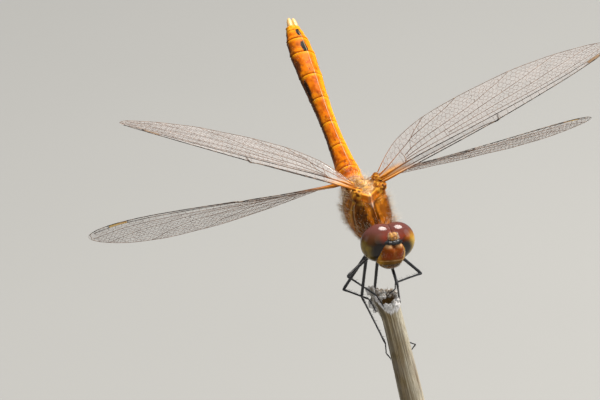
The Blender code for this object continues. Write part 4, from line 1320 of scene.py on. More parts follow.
def grown_coat(name, wanted, seed, hairs):
    """Tufts of hair over the skin: each rises from one root and fans and bends a little."""
    chance = random.Random(seed)
    coat = new_strands()
    for corners, facing, area, station, tone, spot in hair_beds:
        middle = sum(corners, Vector()) / len(corners)
        wish = wanted(station, middle, facing)
        if wish is None:
            continue
        density, length, lie = wish
        for _ in range(int(area * density + chance.random())):
            s, t = chance.random(), chance.random()
            root = corners[0].lerp(corners[1], s).lerp(corners[-1].lerp(corners[-2], s), t)
            root -= facing * 0.02
            for _ in range(hairs):
                fan = Vector([chance.gauss(0, 0.2) for _ in range(3)])
                way = (lie + fan).normalized()
                reach = length * chance.uniform(0.55, 1.25)
                bend = Vector((-0.12, 0, 0.1)) * reach + fan * reach * 0.25
                points = [root, root + way * reach * 0.5 + bend * 0.25, root + way * reach + bend]
                tip = mixed(HAIR, HAIR_WARM, chance.random() * 0.7)
                start = mixed(tone, tip, 0.35)
                add_strand(coat, points, (HAIR_RADIUS, HAIR_RADIUS * 0.75), start, tip, spot)
    return strands_mesh(coat, name)


for name, wanted, seed, hairs in (("thorax_coat", thorax_hair, 5, 3), ("collar_coat", collar_hair, 6, 2)):
    fitted(grown_coat(name, wanted, seed, hairs), name, body_place, [soft_hair], "ochre_cuticle")

# Compound eyes: two great globes that meet along the crown, each a hard clear dome of tiny
# facets over pigment, purple-brown above, red-brown below that, black and olive underneath.
EYE = ((-0.1, 0.85, 0.2), (1.5, 2.0, 1.96))
EYE_REAR = -1.1
EYE_PARTING = 0.02
EYE_AROUND = 128
EYE_RINGS = 88
EYE_CREASE = radians(50)
EYE_CROWN = (0.17, 0.058, 0.046)
EYE_RED = (0.27, 0.032, 0.006)
EYE_ORANGE = (0.6, 0.17, 0.012)
EYE_BLACK = (0.012, 0.006, 0.004)
EYE_OLIVE = (0.06, 0.036, 0.003)
EYE_YELLOW = (0.72, 0.47, 0.045)
FACET = 0.034


def globe(centre, radii, segments, rings, relief=None):
    """A ball stretched to its radii at its centre, its surface raised or let in by relief."""
    bpy.ops.mesh.primitive_uv_sphere_add(segments=segments, ring_count=rings, radius=1)
    ball = bpy.context.object
    bpy.ops.object.mode_set(mode="EDIT")
    bpy.ops.transform.resize(value=radii)
    bpy.ops.transform.translate(value=centre)
    bpy.ops.object.mode_set(mode="OBJECT")
    if relief:
        embossed(ball, lambda corner: relief(corner.co))
    bpy.ops.object.shade_smooth()
    return ball


def sliced(piece, at, facing):
    """Cuts a piece by a plane, drops what lies on its facing side and closes the cut."""
    only(piece)
    bpy.ops.object.mode_set(mode="EDIT")
    bpy.ops.mesh.select_all(action="SELECT")
    bpy.ops.mesh.bisect(plane_co=at, plane_no=facing, use_fill=True, clear_outer=True)
    bpy.ops.object.mode_set(mode="OBJECT")


def eye_tone(side):
    """Pigment bands of one eye, from the crown down, with its black inner patch; the left eye painted
    lit, the right in shade.
    """

    def tone(corner):
        x, y, z = corner.co
        y = y * side
        lift = (z - EYE[0][2]) / EYE[1][2]
        outer = (y - EYE[0][1]) / EYE[1][1]
        swirl = noise.noise(Vector((x * 1.6, y * 1.6, z * 1.6)))
        edge = lift + 0.1 * swirl - 0.1 * outer
        rim = ease(outer - 0.15 * lift, 0.35, 0.85)
        # The lower rim is painted yellower on the lit left eye than on the shaded right one.
        lower = mixed(EYE_OLIVE, EYE_YELLOW, (0.5 + 0.2 * side) * rim)
        lower = mixed(lower, (0.03, 0.02, 0.005), 0.5 * ease(swirl + 0.2 * (1 - rim), -0.1, 0.3))
        # The red band is painted browner on the shaded right eye.
        browner = (0.85 - 0.45 * (side > 0)) * ease(outer, 0.0, 0.45)
        brown = mixed(EYE_RED, (0.11, 0.048, 0.008), browner)
        shown = mixed(lower, brown, ease(edge + 0.12 * swirl, -0.12, 0.3))
        # Painted light: orange and a bright yellow rim on the left eye's outer side.
        if side > 0:
            shown = mixed(shown, EYE_ORANGE, 0.9 * ease(outer, 0.05, 0.4) * hump(edge, 0.18, 0.26))
            lit_rim = ease(outer + 0.1 * swirl, 0.34, 0.6) * hump(lift, 0.0, 0.5)
            shown = mixed(shown, EYE_YELLOW, 0.95 * lit_rim)
        shown = mixed(shown, EYE_CROWN, ease(edge + 0.1 * (1.2 - x) + 0.2 * outer, 0.4, 0.95))
        patch = hypot((y - 1.3) / 1.05, (z + 0.15) / 1.15)
        shown = mixed(shown, EYE_BLACK, ease(1.3 - patch, 0.0, 0.8) * ease(x, 0.0, 0.7))
        return mixed(shown, EYE_YELLOW, 0.8 * ease(-x, 0.75, 1.0) * ease(lift + 0.4, 0, 0.4))

    return tone


eye_glaze, tree, shader = new_finish(
    "eye_compound", Coat_Weight=0.65, Coat_Roughness=0.05, Specular_IOR_Level=0.05
)
facets = node(tree, "ShaderNodeTexVoronoi", Scale=1000 / FACET, feature="F1", Randomness=0.25)
wire(tree, object_place(tree), facets.inputs["Vector"])
facet_rim = spread(tree, facets.outputs["Distance"], 0.3, 0.75)
depth_tone = blend_colours(tree, 1.0, markings_of(tree), (0.6, 0.55, 0.55), "MULTIPLY")
wire(tree, blend_colours(tree, facet_rim, markings_of(tree), depth_tone), shader.inputs["Base Color"])
film, _ = worn(tree, 900.0)
vary(tree, shader, "Roughness", film, 0.1, 0.2)
bumped(tree, shader, facet_rim, 0.12, 0.00001)

for label, side in (("left", 1), ("right", -1)):
    centre, radii = EYE
    eye = globe((centre[0], centre[1] * side, centre[2]), radii, EYE_AROUND, EYE_RINGS)
    sliced(eye, (0, EYE_PARTING * side, 0), (0, -side, 0))
    sliced(eye, (EYE_REAR, 0, 0), (-1, 0, 0))
    only(eye)
    bpy.ops.object.shade_smooth_by_angle(angle=EYE_CREASE)
    painted(eye, eye_tone(side))
    fitted(eye, f"compound_eye_{label}", head_place, [eye_glaze], "compound_eye", f"eye_{label}")

# Face: the knob between the eyes with its simple eyes, the black brow under it, and one mask
# of thin hard cuticle below: the two-lobed forehead, the shield, the upper lip and lower lips.
KNOB = ((0.98, 0.0, 1.08), (0.56, 0.6, 0.46))
BROW = ((0.95, 0.0, 0.66), (0.8, 1.12, 0.38))
FACE = (
    # height, half width and reach forward
    (-2.42, 0.05, 0.5), (-2.32, 0.5, 0.92), (-2.1, 0.88, 1.25), (-1.75, 1.22, 1.54),
    (-1.4, 1.43, 1.7), (-1.15, 1.55, 1.78), (-0.8, 1.57, 1.87), (-0.4, 1.54, 1.92),
    (0.0, 1.46, 1.87), (0.3, 1.3, 1.75), (0.48, 1.06, 1.6), (0.58, 0.74, 1.44), (0.62, 0.25, 1.2),
)
FACE_MIDDLE = 0.4
FACE_AROUND = 160
FACE_ROWS = 112
SIMPLE_EYES = ((1.55, 0.0, 0.72, 0.12), (1.3, 0.52, 0.78, 0.1), (1.3, -0.52, 0.78, 0.1))
FACE_ORANGE = (0.26, 0.058, 0.002)
FACE_RED = (0.28, 0.036, 0.003)
FACE_YELLOW = (0.78, 0.42, 0.03)
FACE_PALE = (0.82, 0.5, 0.24)
FACE_OLIVE = (0.1, 0.05, 0.004)

face_glaze, tree, shader, face_mottle, _ = worn_finish(
    "face_plate", 1600.0, (0.78, 0.7, 0.6), (0.28, 0.38), (0.3, 0.00002),
    Coat_Roughness=0.22, Specular_IOR_Level=0.06, Subsurface_Weight=0.15, Subsurface_Scale=0.5,
    Subsurface_Radius=(0.0006, 0.0002, 0.0001),
)
vary(tree, shader, "Coat Weight", face_mottle, 0.06, 0.22)


def knob_relief(at):
    """Two low peaks on the knob's top with a dip between them."""
    peaks = 0.06 * hump(abs(at.y), 0.3, 0.22) - 0.05 * hump(at.y, 0, 0.12)
    return peaks * ease(at.z, 1.1, 1.4)


def knob_tone(corner):
    """Orange-brown knob, yellower on top and black at its foot."""
    at = corner.co
    fleck = noise.noise(at * 5)
    tone = mixed((0.34, 0.12, 0.012), (0.68, 0.34, 0.06), ease(fleck + at.z - 1.1, -0.3, 0.4))
    return mixed(BLACK, tone, ease(at.z, 0.82, 0.98))


def face_point(share, row):
    """A corner of the mask: the front half follows the table, the back half is in the head."""
    climb = (1 - cos(pi * row / FACE_ROWS)) / 2
    height = FACE[0][0] + (FACE[-1][0] - FACE[0][0]) * climb
    half, reach = smooth_row(FACE, height)
    if row in (0, FACE_ROWS):
        return Vector((FACE_MIDDLE, 0, height))
    a = 2 * pi * share
    front = (reach - FACE_MIDDLE) * abs(cos(a)) ** 0.85
    x = FACE_MIDDLE + (front if cos(a) > 0 else -front * 0.3)
    return Vector((x, half * sin(a), height))


def face_relief(at):
    """Forehead lobes parted by a groove, then shield edge, upper lip and lower lips as folds."""
    x, y, z = at
    upper = ease(z, -0.75, 0.05)
    raised = -0.2 * hump(y, 0, 0.24) * ease(z, -0.2, 0.4) + 0.1 * hump(abs(y), 0.62, 0.4) * upper
    raised -= 0.03 * hump(y, 0, 0.12) * ease(z, -0.95, -0.4)
    sag = z + 0.07 * y * y
    raised -= 0.06 * hump(sag, -1.02, 0.05) + 0.05 * hump(sag, -1.24, 0.05)
    raised += 0.04 * hump(sag, -1.13, 0.06) + 0.03 * hump(sag, -1.48, 0.16)
    raised -= 0.075 * hump(sag, -1.72, 0.045) - 0.03 * hump(sag, -1.95, 0.16)
    raised -= 0.06 * hump(y, 0, 0.05) * ease(-sag, 1.78, 1.9)
    raised -= 0.04 * hump(abs(y), 1.12, 0.07) * ease(-sag, 1.25, 1.5)
    return raised + 0.012 * noise.noise(at * 6.5)


def forehead_tone(at):
    """Orange forehead with red patches, yellow sides, the left painted brighter as light, and a painted
    highlight on the upper lobes.
    """
    x, y, z = at
    fleck = noise.noise(at * 2.4)
    patches = hump(abs(y), 0.62, 0.34) * hump(z, -0.5 + 0.2 * fleck, 0.34)
    tone = mixed(FACE_ORANGE, FACE_RED, 0.9 * patches)
    # The left side's yellow is painted stronger than the right's, as painted light.
    tone = mixed(tone, FACE_YELLOW, ease(y + 0.15 * fleck, 0.95, 1.25) + 0.5 * ease(-y, 1.1, 1.4))
    # Painted highlight on the tops of the upper lobes.
    top = ease(z + 0.1 * fleck, 0.05, 0.45)
    tone = mixed(tone, FACE_PALE, 0.75 * top * hump(abs(y), 0.6, 0.4))
    return mixed(tone, (0.75, 0.38, 0.14), 0.12 * hump(y, 0, 0.14) * hump(z, -0.3, 0.35))


def face_tone(corner):
    """The forehead's colours, then a pale line painted as a highlight on a fold, and olive-brown lips
    below it.
    """
    x, y, z = at = corner.co
    sag = z + 0.07 * y * y
    fleck = noise.noise(at * 3)
    lips = mixed((0.22, 0.1, 0.01), FACE_OLIVE, ease(-sag + 0.1 * fleck, 1.25, 1.6))
    lips = mixed(lips, FACE_ORANGE, 0.55 * hump(sag, -1.98, 0.16) * hump(y, -0.2, 0.8))
    folds = 0.75 * hump(sag, -1.74, 0.05) + 0.4 * hump(sag, -1.28, 0.05)
    lips = mixed(lips, (0.05, 0.022, 0.003), folds)
    lips = mixed(lips, (0.1, 0.05, 0.01), 0.5 * hump(y, 0, 0.05) * ease(-sag, 1.78, 1.9))
    lips = mixed(lips, FACE_YELLOW, 0.5 * hump(abs(y), 1.25, 0.25) * (1 - ease(-sag, 1.7, 2.1)))
    tone = mixed(forehead_tone(at), lips, ease(-sag, 0.98, 1.1))
    # Painted highlight: a pale line along the raised fold below the forehead.
    tone = mixed(tone, FACE_PALE, 0.6 * hump(sag, -1.14 + 0.04 * fleck, 0.06) * (0.6 + 0.8 * fleck))
    tone = mixed(tone, BLACK, 0.7 * ease(-x, -0.5, -0.1))
    return mixed(tone, BLACK, ease(z, 0.48, 0.56) * ease(-x, -1.45, -1.2))


knob = globe(*KNOB, 64, 48, knob_relief)
painted(knob, knob_tone)
fitted(knob, "face_knob", head_place, [face_glaze], "amber_face", "vertex")
mask = embossed(rolled(FACE_AROUND, FACE_ROWS, face_point), lambda corner: face_relief(corner.co))
painted(mask, face_tone)
fitted(mask, "face_mask", head_place, [face_glaze], "amber_face", "frons", "mouth")

black_shell = worn_finish(
    "black_cuticle", 1200.0, ((0.009, 0.009, 0.01), (0.03, 0.031, 0.034)), (0.26, 0.4), (0.3, 0.00002),
    Coat_Weight=0.25, Coat_Roughness=0.2, Specular_IOR_Level=0.3,
)[0]


def brow_relief(at):
    """A rough brow with two dents in its front, beside the feelers' roots."""
    return 0.025 * noise.noise(at * 6) - 0.05 * hump(abs(at.y), 0.3, 0.1) * ease(at.x, 1.2, 1.5)


brow = globe(*BROW, 80, 40, brow_relief)
fitted(brow, "face_brow", head_place, [black_shell], "amber_face")

simple_eye_glass = worn_finish(
    "simple_eye_lens", 3000.0, ((0.55, 0.45, 0.3), (0.75, 0.68, 0.55)), Roughness=0.08, Coat_Weight=0.5
)[0]
lenses = joined([globe((x, y, z), (r, r, r * 0.8), 24, 16) for x, y, z, r in SIMPLE_EYES])
fitted(lenses, "simple_eyes", head_place, [simple_eye_glass], "compound_eye")

# Face hair: short golden hairs on the knob, sparse dark and pale ones on the forehead, and a
# soft fringe along the lips.
KNOB_HAIRS = 420
FOREHEAD_HAIRS = 800
LIP_HAIRS = 500
DARK_HAIR_SHARE = 0.3

chance = random.Random(21)
face_coat = new_strands()


def face_tuft(centre, radii, facing, length, tone, tip, lie, radius=0.008):
    """One hair on a ball of the face, from the point of it that faces the given way."""
    way = Vector(facing).normalized()
    centre, radii = Vector(centre), Vector(radii)
    root = centre + Vector([w * r for w, r in zip(way, radii)]) * 0.99
    out = Vector([w / r for w, r in zip(way, radii)]).normalized()
    stray = Vector([chance.gauss(0, 0.15) for _ in range(3)])
    aim = out * (1 - lie) + Vector((0.1, 0, 0.5)) * lie + stray
    aim.normalize()
    sag = Vector((0, 0, -0.12)) * length
    points = [root, root + aim * length * 0.5, root + aim * length + sag]
    spot = (0.5 + 0.4 * way.y, 0.5 + 0.4 * way.z)
    add_strand(face_coat, points, (radius, radius * 0.7), tone, tip, spot)


for _ in range(KNOB_HAIRS):
    facing = (chance.uniform(0.0, 1.0), chance.uniform(-1, 1), chance.uniform(-0.1, 1))
    face_tuft(*KNOB, facing, chance.uniform(0.14, 0.32), (0.62, 0.33, 0.08), HAIR, 0.35)
for _ in range(FOREHEAD_HAIRS):
    facing = (chance.uniform(0.3, 1.0), chance.uniform(-1, 1), chance.uniform(-0.5, 0.9))
    dark = chance.random() < DARK_HAIR_SHARE
    tone, tip = (UMBER, UMBER) if dark else (FACE_ORANGE, HAIR)
    face_tuft((0.9, 0, -0.4), (0.98, 1.5, 0.95), facing, chance.uniform(0.06, 0.16), tone, tip, 0.3)
for _ in range(LIP_HAIRS):
    facing = (chance.uniform(0.3, 1.0), chance.uniform(-1, 1), chance.uniform(-1, -0.1))
    length = chance.uniform(0.06, 0.2)
    face_tuft((0.62, 0, -1.3), (1.0, 1.25, 0.98), facing, length, FACE_OLIVE, HAIR, -0.2)
fitted(strands_mesh(face_coat, "face_coat"), "face_coat", head_place, [soft_hair], "amber_face")

# Feelers: two short black bristles, each on a stout two-part root between the eyes and brow.
# Each is one thin hard tube, drawn out to a point like a hair's.
FEELER_ROOT = Vector((1.5, 0.5, 0.55))
FEELER_TIP = Vector((2.2, 1.0, 1.6))
FEELER_RUN = (
    # share of its length and radius: the stout root parts, then the bristle
    (0.0, 0.1), (0.05, 0.13), (0.12, 0.13), (0.15, 0.09), (0.17, 0.1), (0.26, 0.09), (0.29, 0.04),
    (0.45, 0.032), (0.46, 0.026), (0.65, 0.024), (0.66, 0.018), (0.85, 0.015), (1.0, 0.006),
)


def tubed(runs, sides=2):
    """Round limbs or veins along runs of (point, radius), as one mesh."""
    curve = bpy.data.curves.new("run", "CURVE")
    curve.dimensions = "3D"
    curve.bevel_depth = 1.0
    curve.bevel_resolution = sides
    curve.use_fill_caps = True
    for run in runs:
        spline = curve.splines.new("POLY")
        spline.points.add(len(run) - 1)
        for knot, (point, radius) in zip(spline.points, run):
            knot.co = (*point, 1.0)
            knot.radius = radius
    limb = bpy.data.objects.new("run", curve)
    bpy.context.scene.collection.objects.link(limb)
    only(limb)
    bpy.ops.object.convert(target="MESH")
    bpy.ops.object.shade_smooth()
    return bpy.context.object


for label, side in (("left", 1), ("right", -1)):
    root = Vector((FEELER_ROOT.x, FEELER_ROOT.y * side, FEELER_ROOT.z))
    tip = Vector((FEELER_TIP.x, FEELER_TIP.y * side, FEELER_TIP.z))
    way = tip - root
    run = [(root + way * t + Vector((0, 0, -0.12)) * t * (1 - t), r) for t, r in FEELER_RUN]
    feeler = tubed([run], 3)
    fitted(feeler, f"feeler_{label}", head_place, [black_shell], "black_cuticle", f"antenna_{label}")

# Claspers: two pale, slightly upturned prongs at the abdomen's end, with a short lower plate,
# all of smooth hard cuticle, their roots sunk in the last ring.
CLASPER_LENGTH = 1.05
CLASPER_SPREAD = 0.3
CLASPER_CREAM = (0.8, 0.42, 0.1)
CLASPER_RUN = (
    # share of its length, lift and radius
    (-0.4, 0.0, 0.2), (0.0, 0.02, 0.29), (0.3, 0.04, 0.3), (0.6, 0.06, 0.27), (0.85, 0.1, 0.2),
    (1.0, 0.14, 0.1),
)

clasper_shell = worn_finish(
    "clasper_cuticle", 1500.0, (CLASPER_CREAM, (0.88, 0.62, 0.3)), (0.35, 0.5), (0.2, 0.00002),
    Coat_Weight=0.2,
)[0]

spot, left, up, tailward = abdomen_frame(ABDOMEN_LENGTH)
for label, side in (("left", 1), ("right", -1)):
    run = []
    for reach, lift, thick in CLASPER_RUN:
        way = tailward * reach * CLASPER_LENGTH + up * (lift + 0.06)
        run.append((spot + way + left * side * (CLASPER_SPREAD - 0.05 * reach), thick))
    clasper = tubed([run], 4)
    fitted(clasper, f"clasper_{label}", body_place, [clasper_shell], "orange_cuticle", f"cercus_{label}")
lower = [(-0.35, 0.16), (0.1, 0.17), (0.4, 0.13), (0.7, 0.04)]
plate = tubed([[(spot + tailward * reach - up * 0.18, thick) for reach, thick in lower]], 4)
fitted(plate, "clasper_lower_plate", body_place, [clasper_shell], "orange_cuticle")

# Wings: four clear, faintly rippled sheets on a net of hollow veins, stiff and pleated along
# the front edge, with an amber root and one thick cell near each tip, painted dull brown as
# shade on the forewings and yellow as lit through on the hindwings; paler clouds in the sheets
# are painted glints. Veins are modelled in three weights.
FOREWING_LEADING = (
    (0.0, 0.0), (0.05, 0.005), (0.48, 0.035), (0.75, 0.036), (0.88, 0.022), (0.95, 0.0),
    (0.985, -0.025), (1.0, -0.045),
)
FOREWING_TRAILING = (
    (0.0, -0.045), (0.06, -0.09), (0.12, -0.125), (0.22, -0.155), (0.35, -0.17), (0.65, -0.185),
    (0.8, -0.175), (0.9, -0.15), (0.96, -0.115), (1.0, -0.065),
)
HINDWING_LEADING = (
    (0.0, 0.0), (0.05, 0.005), (0.41, 0.035), (0.7, 0.036), (0.86, 0.018), (0.95, -0.01),
    (0.985, -0.035), (1.0, -0.055),
)
HINDWING_TRAILING = (
    (0.0, -0.04), (0.02, -0.118), (0.055, -0.206), (0.1, -0.255), (0.18, -0.274), (0.45, -0.257),
    (0.6, -0.24), (0.75, -0.213), (0.88, -0.168), (0.96, -0.122), (1.0, -0.078),
)
WINGS = {
    "forewing": (27.4, (1.83, 1.48, 3.34), FOREWING_LEADING, FOREWING_TRAILING),
    "hindwing": (26.5, (-0.45, 1.76, 2.96), HINDWING_LEADING, HINDWING_TRAILING),
}
WING_POSES = {
    # sweep, rise, pitch at hinge, middle and tip, and the tip's lift
    "forewing_right": (4.4, 35.7, (11.9, 2.7, -15.3), -1.4),
    "forewing_left": (2.5, 21.3, (27.0, 11.4, -16.2), -1.35),
    "hindwing_right": (-16.4, -3.85, (-25.8, -48.9, -58.2), 0.2),
    "hindwing_left": (-13.9, -9.1, (-32.6, -35.8, -45.7), 0.7),
}
# Long veins as (share of span, share of chord behind the leading edge).
FORE_VEINS = {
    "second": ((0.0, 0.25), (0.03, 0.14), (0.2, 0.085), (0.42, 0.06), (0.48, 0.0)),
    "third": (
        (0.0, 0.45), (0.03, 0.27), (0.2, 0.17), (0.48, 0.13), (0.75, 0.1), (0.9, 0.13), (0.975, 0.22),
    ),
    "fourth": (
        (0.115, 0.3), (0.3, 0.26), (0.48, 0.235), (0.7, 0.22), (0.85, 0.31), (0.94, 0.48), (0.985, 0.75),
    ),
    "fifth": ((0.3, 0.32), (0.48, 0.36), (0.65, 0.42), (0.78, 0.54), (0.88, 0.75), (0.94, 1.0)),
    "sixth": ((0.118, 0.36), (0.3, 0.42), (0.45, 0.5), (0.58, 0.6), (0.7, 0.77), (0.79, 1.0)),
    "seventh": ((0.12, 0.44), (0.16, 0.5), (0.3, 0.56), (0.42, 0.66), (0.53, 0.82), (0.61, 1.0)),
    "eighth": ((0.17, 0.73), (0.24, 0.78), (0.32, 0.88), (0.39, 1.0)),
    "ninth": ((0.0, 0.7), (0.04, 0.58), (0.1, 0.62), (0.17, 0.73), (0.2, 0.86), (0.25, 1.0)),
}
HIND_VEINS = {
    "second": ((0.0, 0.2), (0.03, 0.07), (0.2, 0.05), (0.36, 0.04), (0.41, 0.0)),
    "third": (
        (0.0, 0.4), (0.03, 0.14), (0.2, 0.1), (0.41, 0.085), (0.7, 0.085), (0.88, 0.115), (0.975, 0.2),
    ),
    "fourth": (
        (0.09, 0.17), (0.25, 0.17), (0.41, 0.17), (0.7, 0.19), (0.85, 0.28), (0.94, 0.45), (0.985, 0.72),
    ),
    "fifth": ((0.25, 0.2), (0.41, 0.26), (0.62, 0.33), (0.78, 0.48), (0.88, 0.7), (0.94, 1.0)),
    "sixth": ((0.095, 0.2), (0.25, 0.28), (0.41, 0.37), (0.55, 0.48), (0.68, 0.68), (0.78, 1.0)),
    "seventh": ((0.1, 0.25), (0.2, 0.36), (0.34, 0.5), (0.46, 0.7), (0.58, 1.0)),
    "eighth": ((0.115, 0.36), (0.18, 0.5), (0.27, 0.72), (0.35, 1.0)),
    "ninth": (
        (0.0, 0.6), (0.03, 0.3), (0.08, 0.34), (0.115, 0.42), (0.16, 0.62), (0.22, 0.84), (0.27, 1.0),
    ),
    "tenth": ((0.01, 0.5), (0.05, 0.46), (0.085, 0.58), (0.12, 0.8), (0.15, 1.0)),
}
VEIN_FIELDS = {
    # front vein, rear vein, from share, to share, cell length, cell depth (shares of span)
    "forewing": (
        ("lead", "second", 0.05, 0.47, 0.052, 0.2), ("second", "third", 0.05, 0.48, 0.052, 0.2),
        ("lead", "third", 0.49, 0.865, 0.042, 0.2), ("lead", "third", 0.932, 0.97, 0.022, 0.2),
        ("third", "fourth", 0.13, 0.97, 0.034, 0.026), ("fourth", "fifth", 0.31, 0.98, 0.026, 0.021),
        ("fourth", "sixth", 0.13, 0.3, 0.05, 0.1), ("fifth", "sixth", 0.31, 0.94, 0.024, 0.022),
        ("sixth", "seventh", 0.13, 0.8, 0.026, 0.022), ("seventh", "eighth", 0.175, 0.62, 0.024, 0.018),
        ("eighth", "ninth", 0.175, 0.4, 0.022, 0.022), ("ninth", "trail", 0.03, 0.25, 0.026, 0.024),
        ("third", "ninth", 0.03, 0.115, 0.045, 0.2),
    ),
    "hindwing": (
        ("lead", "second", 0.05, 0.4, 0.06, 0.2), ("second", "third", 0.05, 0.41, 0.06, 0.2),
        ("lead", "third", 0.42, 0.83, 0.042, 0.2), ("lead", "third", 0.915, 0.97, 0.022, 0.2),
        ("third", "fourth", 0.1, 0.97, 0.034, 0.026), ("fourth", "fifth", 0.26, 0.98, 0.026, 0.022),
        ("fourth", "sixth", 0.1, 0.25, 0.05, 0.1), ("fifth", "sixth", 0.26, 0.94, 0.024, 0.023),
        ("sixth", "seventh", 0.11, 0.78, 0.026, 0.023), ("seventh", "eighth", 0.12, 0.58, 0.024, 0.02),
        ("eighth", "ninth", 0.12, 0.36, 0.022, 0.024), ("ninth", "tenth", 0.03, 0.27, 0.022, 0.026),
        ("tenth", "trail", 0.015, 0.15, 0.021, 0.024), ("third", "ninth", 0.03, 0.09, 0.045, 0.2),
    ),
}
CELL_SCALE = 0.8
NODUS = {"forewing": 0.48, "hindwing": 0.41}
STIGMA = {"forewing": (0.87, 0.927), "hindwing": (0.835, 0.912)}
SHEET_THICKNESS = 0.024
CELL_THICKNESS = 0.085
CELL_EDGE = 0.02
ARCH = 0.11
EDGE_STEPS = 90
RIM_STEPS = 110
VEIN_BROWN = (0.16, 0.085, 0.05)
VEIN_DARK = (0.022, 0.014, 0.01)
VEIN_ORANGE = (0.46, 0.14, 0.003)
VEIN_PALE = (0.58, 0.43, 0.33)
ROOT_AMBER = (0.78, 0.33, 0.006)


def straight_row(rows, at):
    """A table's second column at a place along its first, smoothed between rows."""
    return smooth_row(rows, at)[0]


def vein_depth(kind, vein, share):
    """How far behind the leading edge a vein lies, as a share of the chord."""
    if vein == "lead":
        return 0.0
    if vein == "trail":
        return 1.0
    table = FORE_VEINS if kind == "forewing" else HIND_VEINS
    return max(0.0, min(1.0, straight_row(table[vein], share)))


def pleat(kind, share, depth):
    """How far the sheet rises in pleats behind the leading edge, in millimetres."""
    fade = (1 - 0.65 * share) * ease(share, 0.0, 0.05)
    second = vein_depth(kind, "second", share)
    third = vein_depth(kind, "third", share)
    height = 0.1 * hump(depth, third, 0.035) - 0.06 * hump(depth, third + 0.13, 0.06)
    if share < NODUS[kind]:
        height -= 0.16 * hump(depth, second, 0.03)
    height += 0.05 * sin(depth * 26) * ease(depth, 0.2, 0.35)
    waver = noise.noise(Vector((share * 9, depth * 4, 3.0)))
    return height * fade + 0.05 * waver * ease(depth, 0.1, 0.5)


def wing_line(name):
    """A wing's kind and span, its hinge and the direction of its span in the body's frame."""
    kind, side_name = name.split("_")
    side = 1 if side_name == "left" else -1
    span, (x, y, z) = WINGS[kind][:2]
    sweep, rise = (radians(turn) for turn in WING_POSES[name][:2])
    out = Vector((sin(sweep) * cos(rise), side * cos(sweep) * cos(rise), sin(rise)))
    return kind, span, Vector((x, side * y, z)), out


def wing_spot(name, share, depth):
    """A point of a wing's sheet at a share of its span and of its chord, in the body's frame."""
    kind, span, hinge, out = wing_line(name)
    leading, trailing = WINGS[kind][2:]
    (root_pitch, middle_pitch, tip_pitch), tip_lift = WING_POSES[name][2:]
    back = Vector((-1, 0, 0))
    back = (back - out * back.dot(out)).normalized()
    up = out.cross(back)
    if up.z < 0:
        up = -up
    u = share
    pitch = radians(root_pitch * (1 - u) ** 2 + 2 * middle_pitch * u * (1 - u) + tip_pitch * u**2)
    chord = back * cos(pitch) + up * sin(pitch)
    top = up * cos(pitch) - back * sin(pitch)
    front, rear = straight_row(leading, u), straight_row(trailing, u)
    ahead = front + (rear - front) * depth
    spot = hinge + out * span * u - chord * ahead * span
    return spot + Vector((0, 0, tip_lift * u**2)) + top * pleat(kind, u, depth)


def vein_run(name, points, thick):
    """A vein's run through (share of span, share of chord) points, ready for tubed."""
    return [(wing_spot(name, share, depth), radius) for (share, depth), radius in zip(points, thick)]


def long_vein(name, vein, start, end, root, tip, steps=46):
    """One long vein from start to end of the span, thicker at its root."""
    kind = name.split("_")[0]
    shares = [start + (end - start) * i / steps for i in range(steps + 1)]
    points = [(share, vein_depth(kind, vein, share)) for share in shares]
    thick = [tip + (root - tip) * (1 - share) ** 3 + 0.05 * hump(share, 0, 0.045) for share in shares]
    return vein_run(name, points, thick)


def field_cells(name, front, rear, start, end, length, depth_size, chance):
    """Cross veins between two long veins: one row where they run close, staggered rows where wide."""
    kind = name.split("_")[0]
    leading, trailing = WINGS[kind][2:]
    runs = []

    def gap(share):
        chord = straight_row(leading, share) - straight_row(trailing, share)
        return (vein_depth(kind, rear, share) - vein_depth(kind, front, share)) * chord

    def rows_at(share):
        return max(1, round(gap(share) / depth_size)) if depth_size < 0.15 else 1

    length, depth_size = length * CELL_SCALE, depth_size * (CELL_SCALE if depth_size < 0.15 else 1)
    share = start
    while share < end - 0.004:
        rows = rows_at(share + 0.5 * length)
        stop = share + length
        while stop < end - 0.5 * length and rows_at(stop + 0.5 * length) == rows:
            stop += length
        stop = min(stop, end)
        count = max(1, round((stop - share) / length))
        step = (stop - share) / count
        jitter = {}

        def knot(k, j):
            if (k, j) not in jitter:
                slip = 0 if depth_size > 0.15 else chance.uniform(-0.13, 0.13) * step
                at = min(max(share + j * step / 2 + slip, 0.004), 0.992)
                low, high = vein_depth(kind, front, at), vein_depth(kind, rear, at)
                part = k / rows
                if 0 < k < rows:
                    stagger = 0.2 if (j - k) % 2 == 0 else -0.2
                    part += stagger / rows + chance.uniform(-0.06, 0.06) / rows
                jitter[k, j] = (at, low + (high - low) * part)
            return jitter[k, j]

        for k in range(rows):
            for j in range(k % 2, 2 * count + 1, 2):
                a, b = knot(k, j), knot(k + 1, j)
                if gap(a[0]) > 0.004:
                    middle = ((a[0] + b[0]) / 2, (a[1] + b[1]) / 2)
                    runs.append(vein_run(name, (a, middle, b), (0.017, 0.014, 0.017)))
        for k in range(1, rows):
            row = [knot(k, j) for j in range(2 * count + 1)]
            row = [point for point in row if gap(point[0]) > 0.004]
            if len(row) > 1:
                runs.append(vein_run(name, row, [0.015] * len(row)))
        share = stop
    return runs


clear_sheet, tree, shader = new_finish(
    "wing_clear_sheet", IOR=1.56, Roughness=0.12, Specular_Tint=(1.0, 0.93, 0.9, 1.0)
)
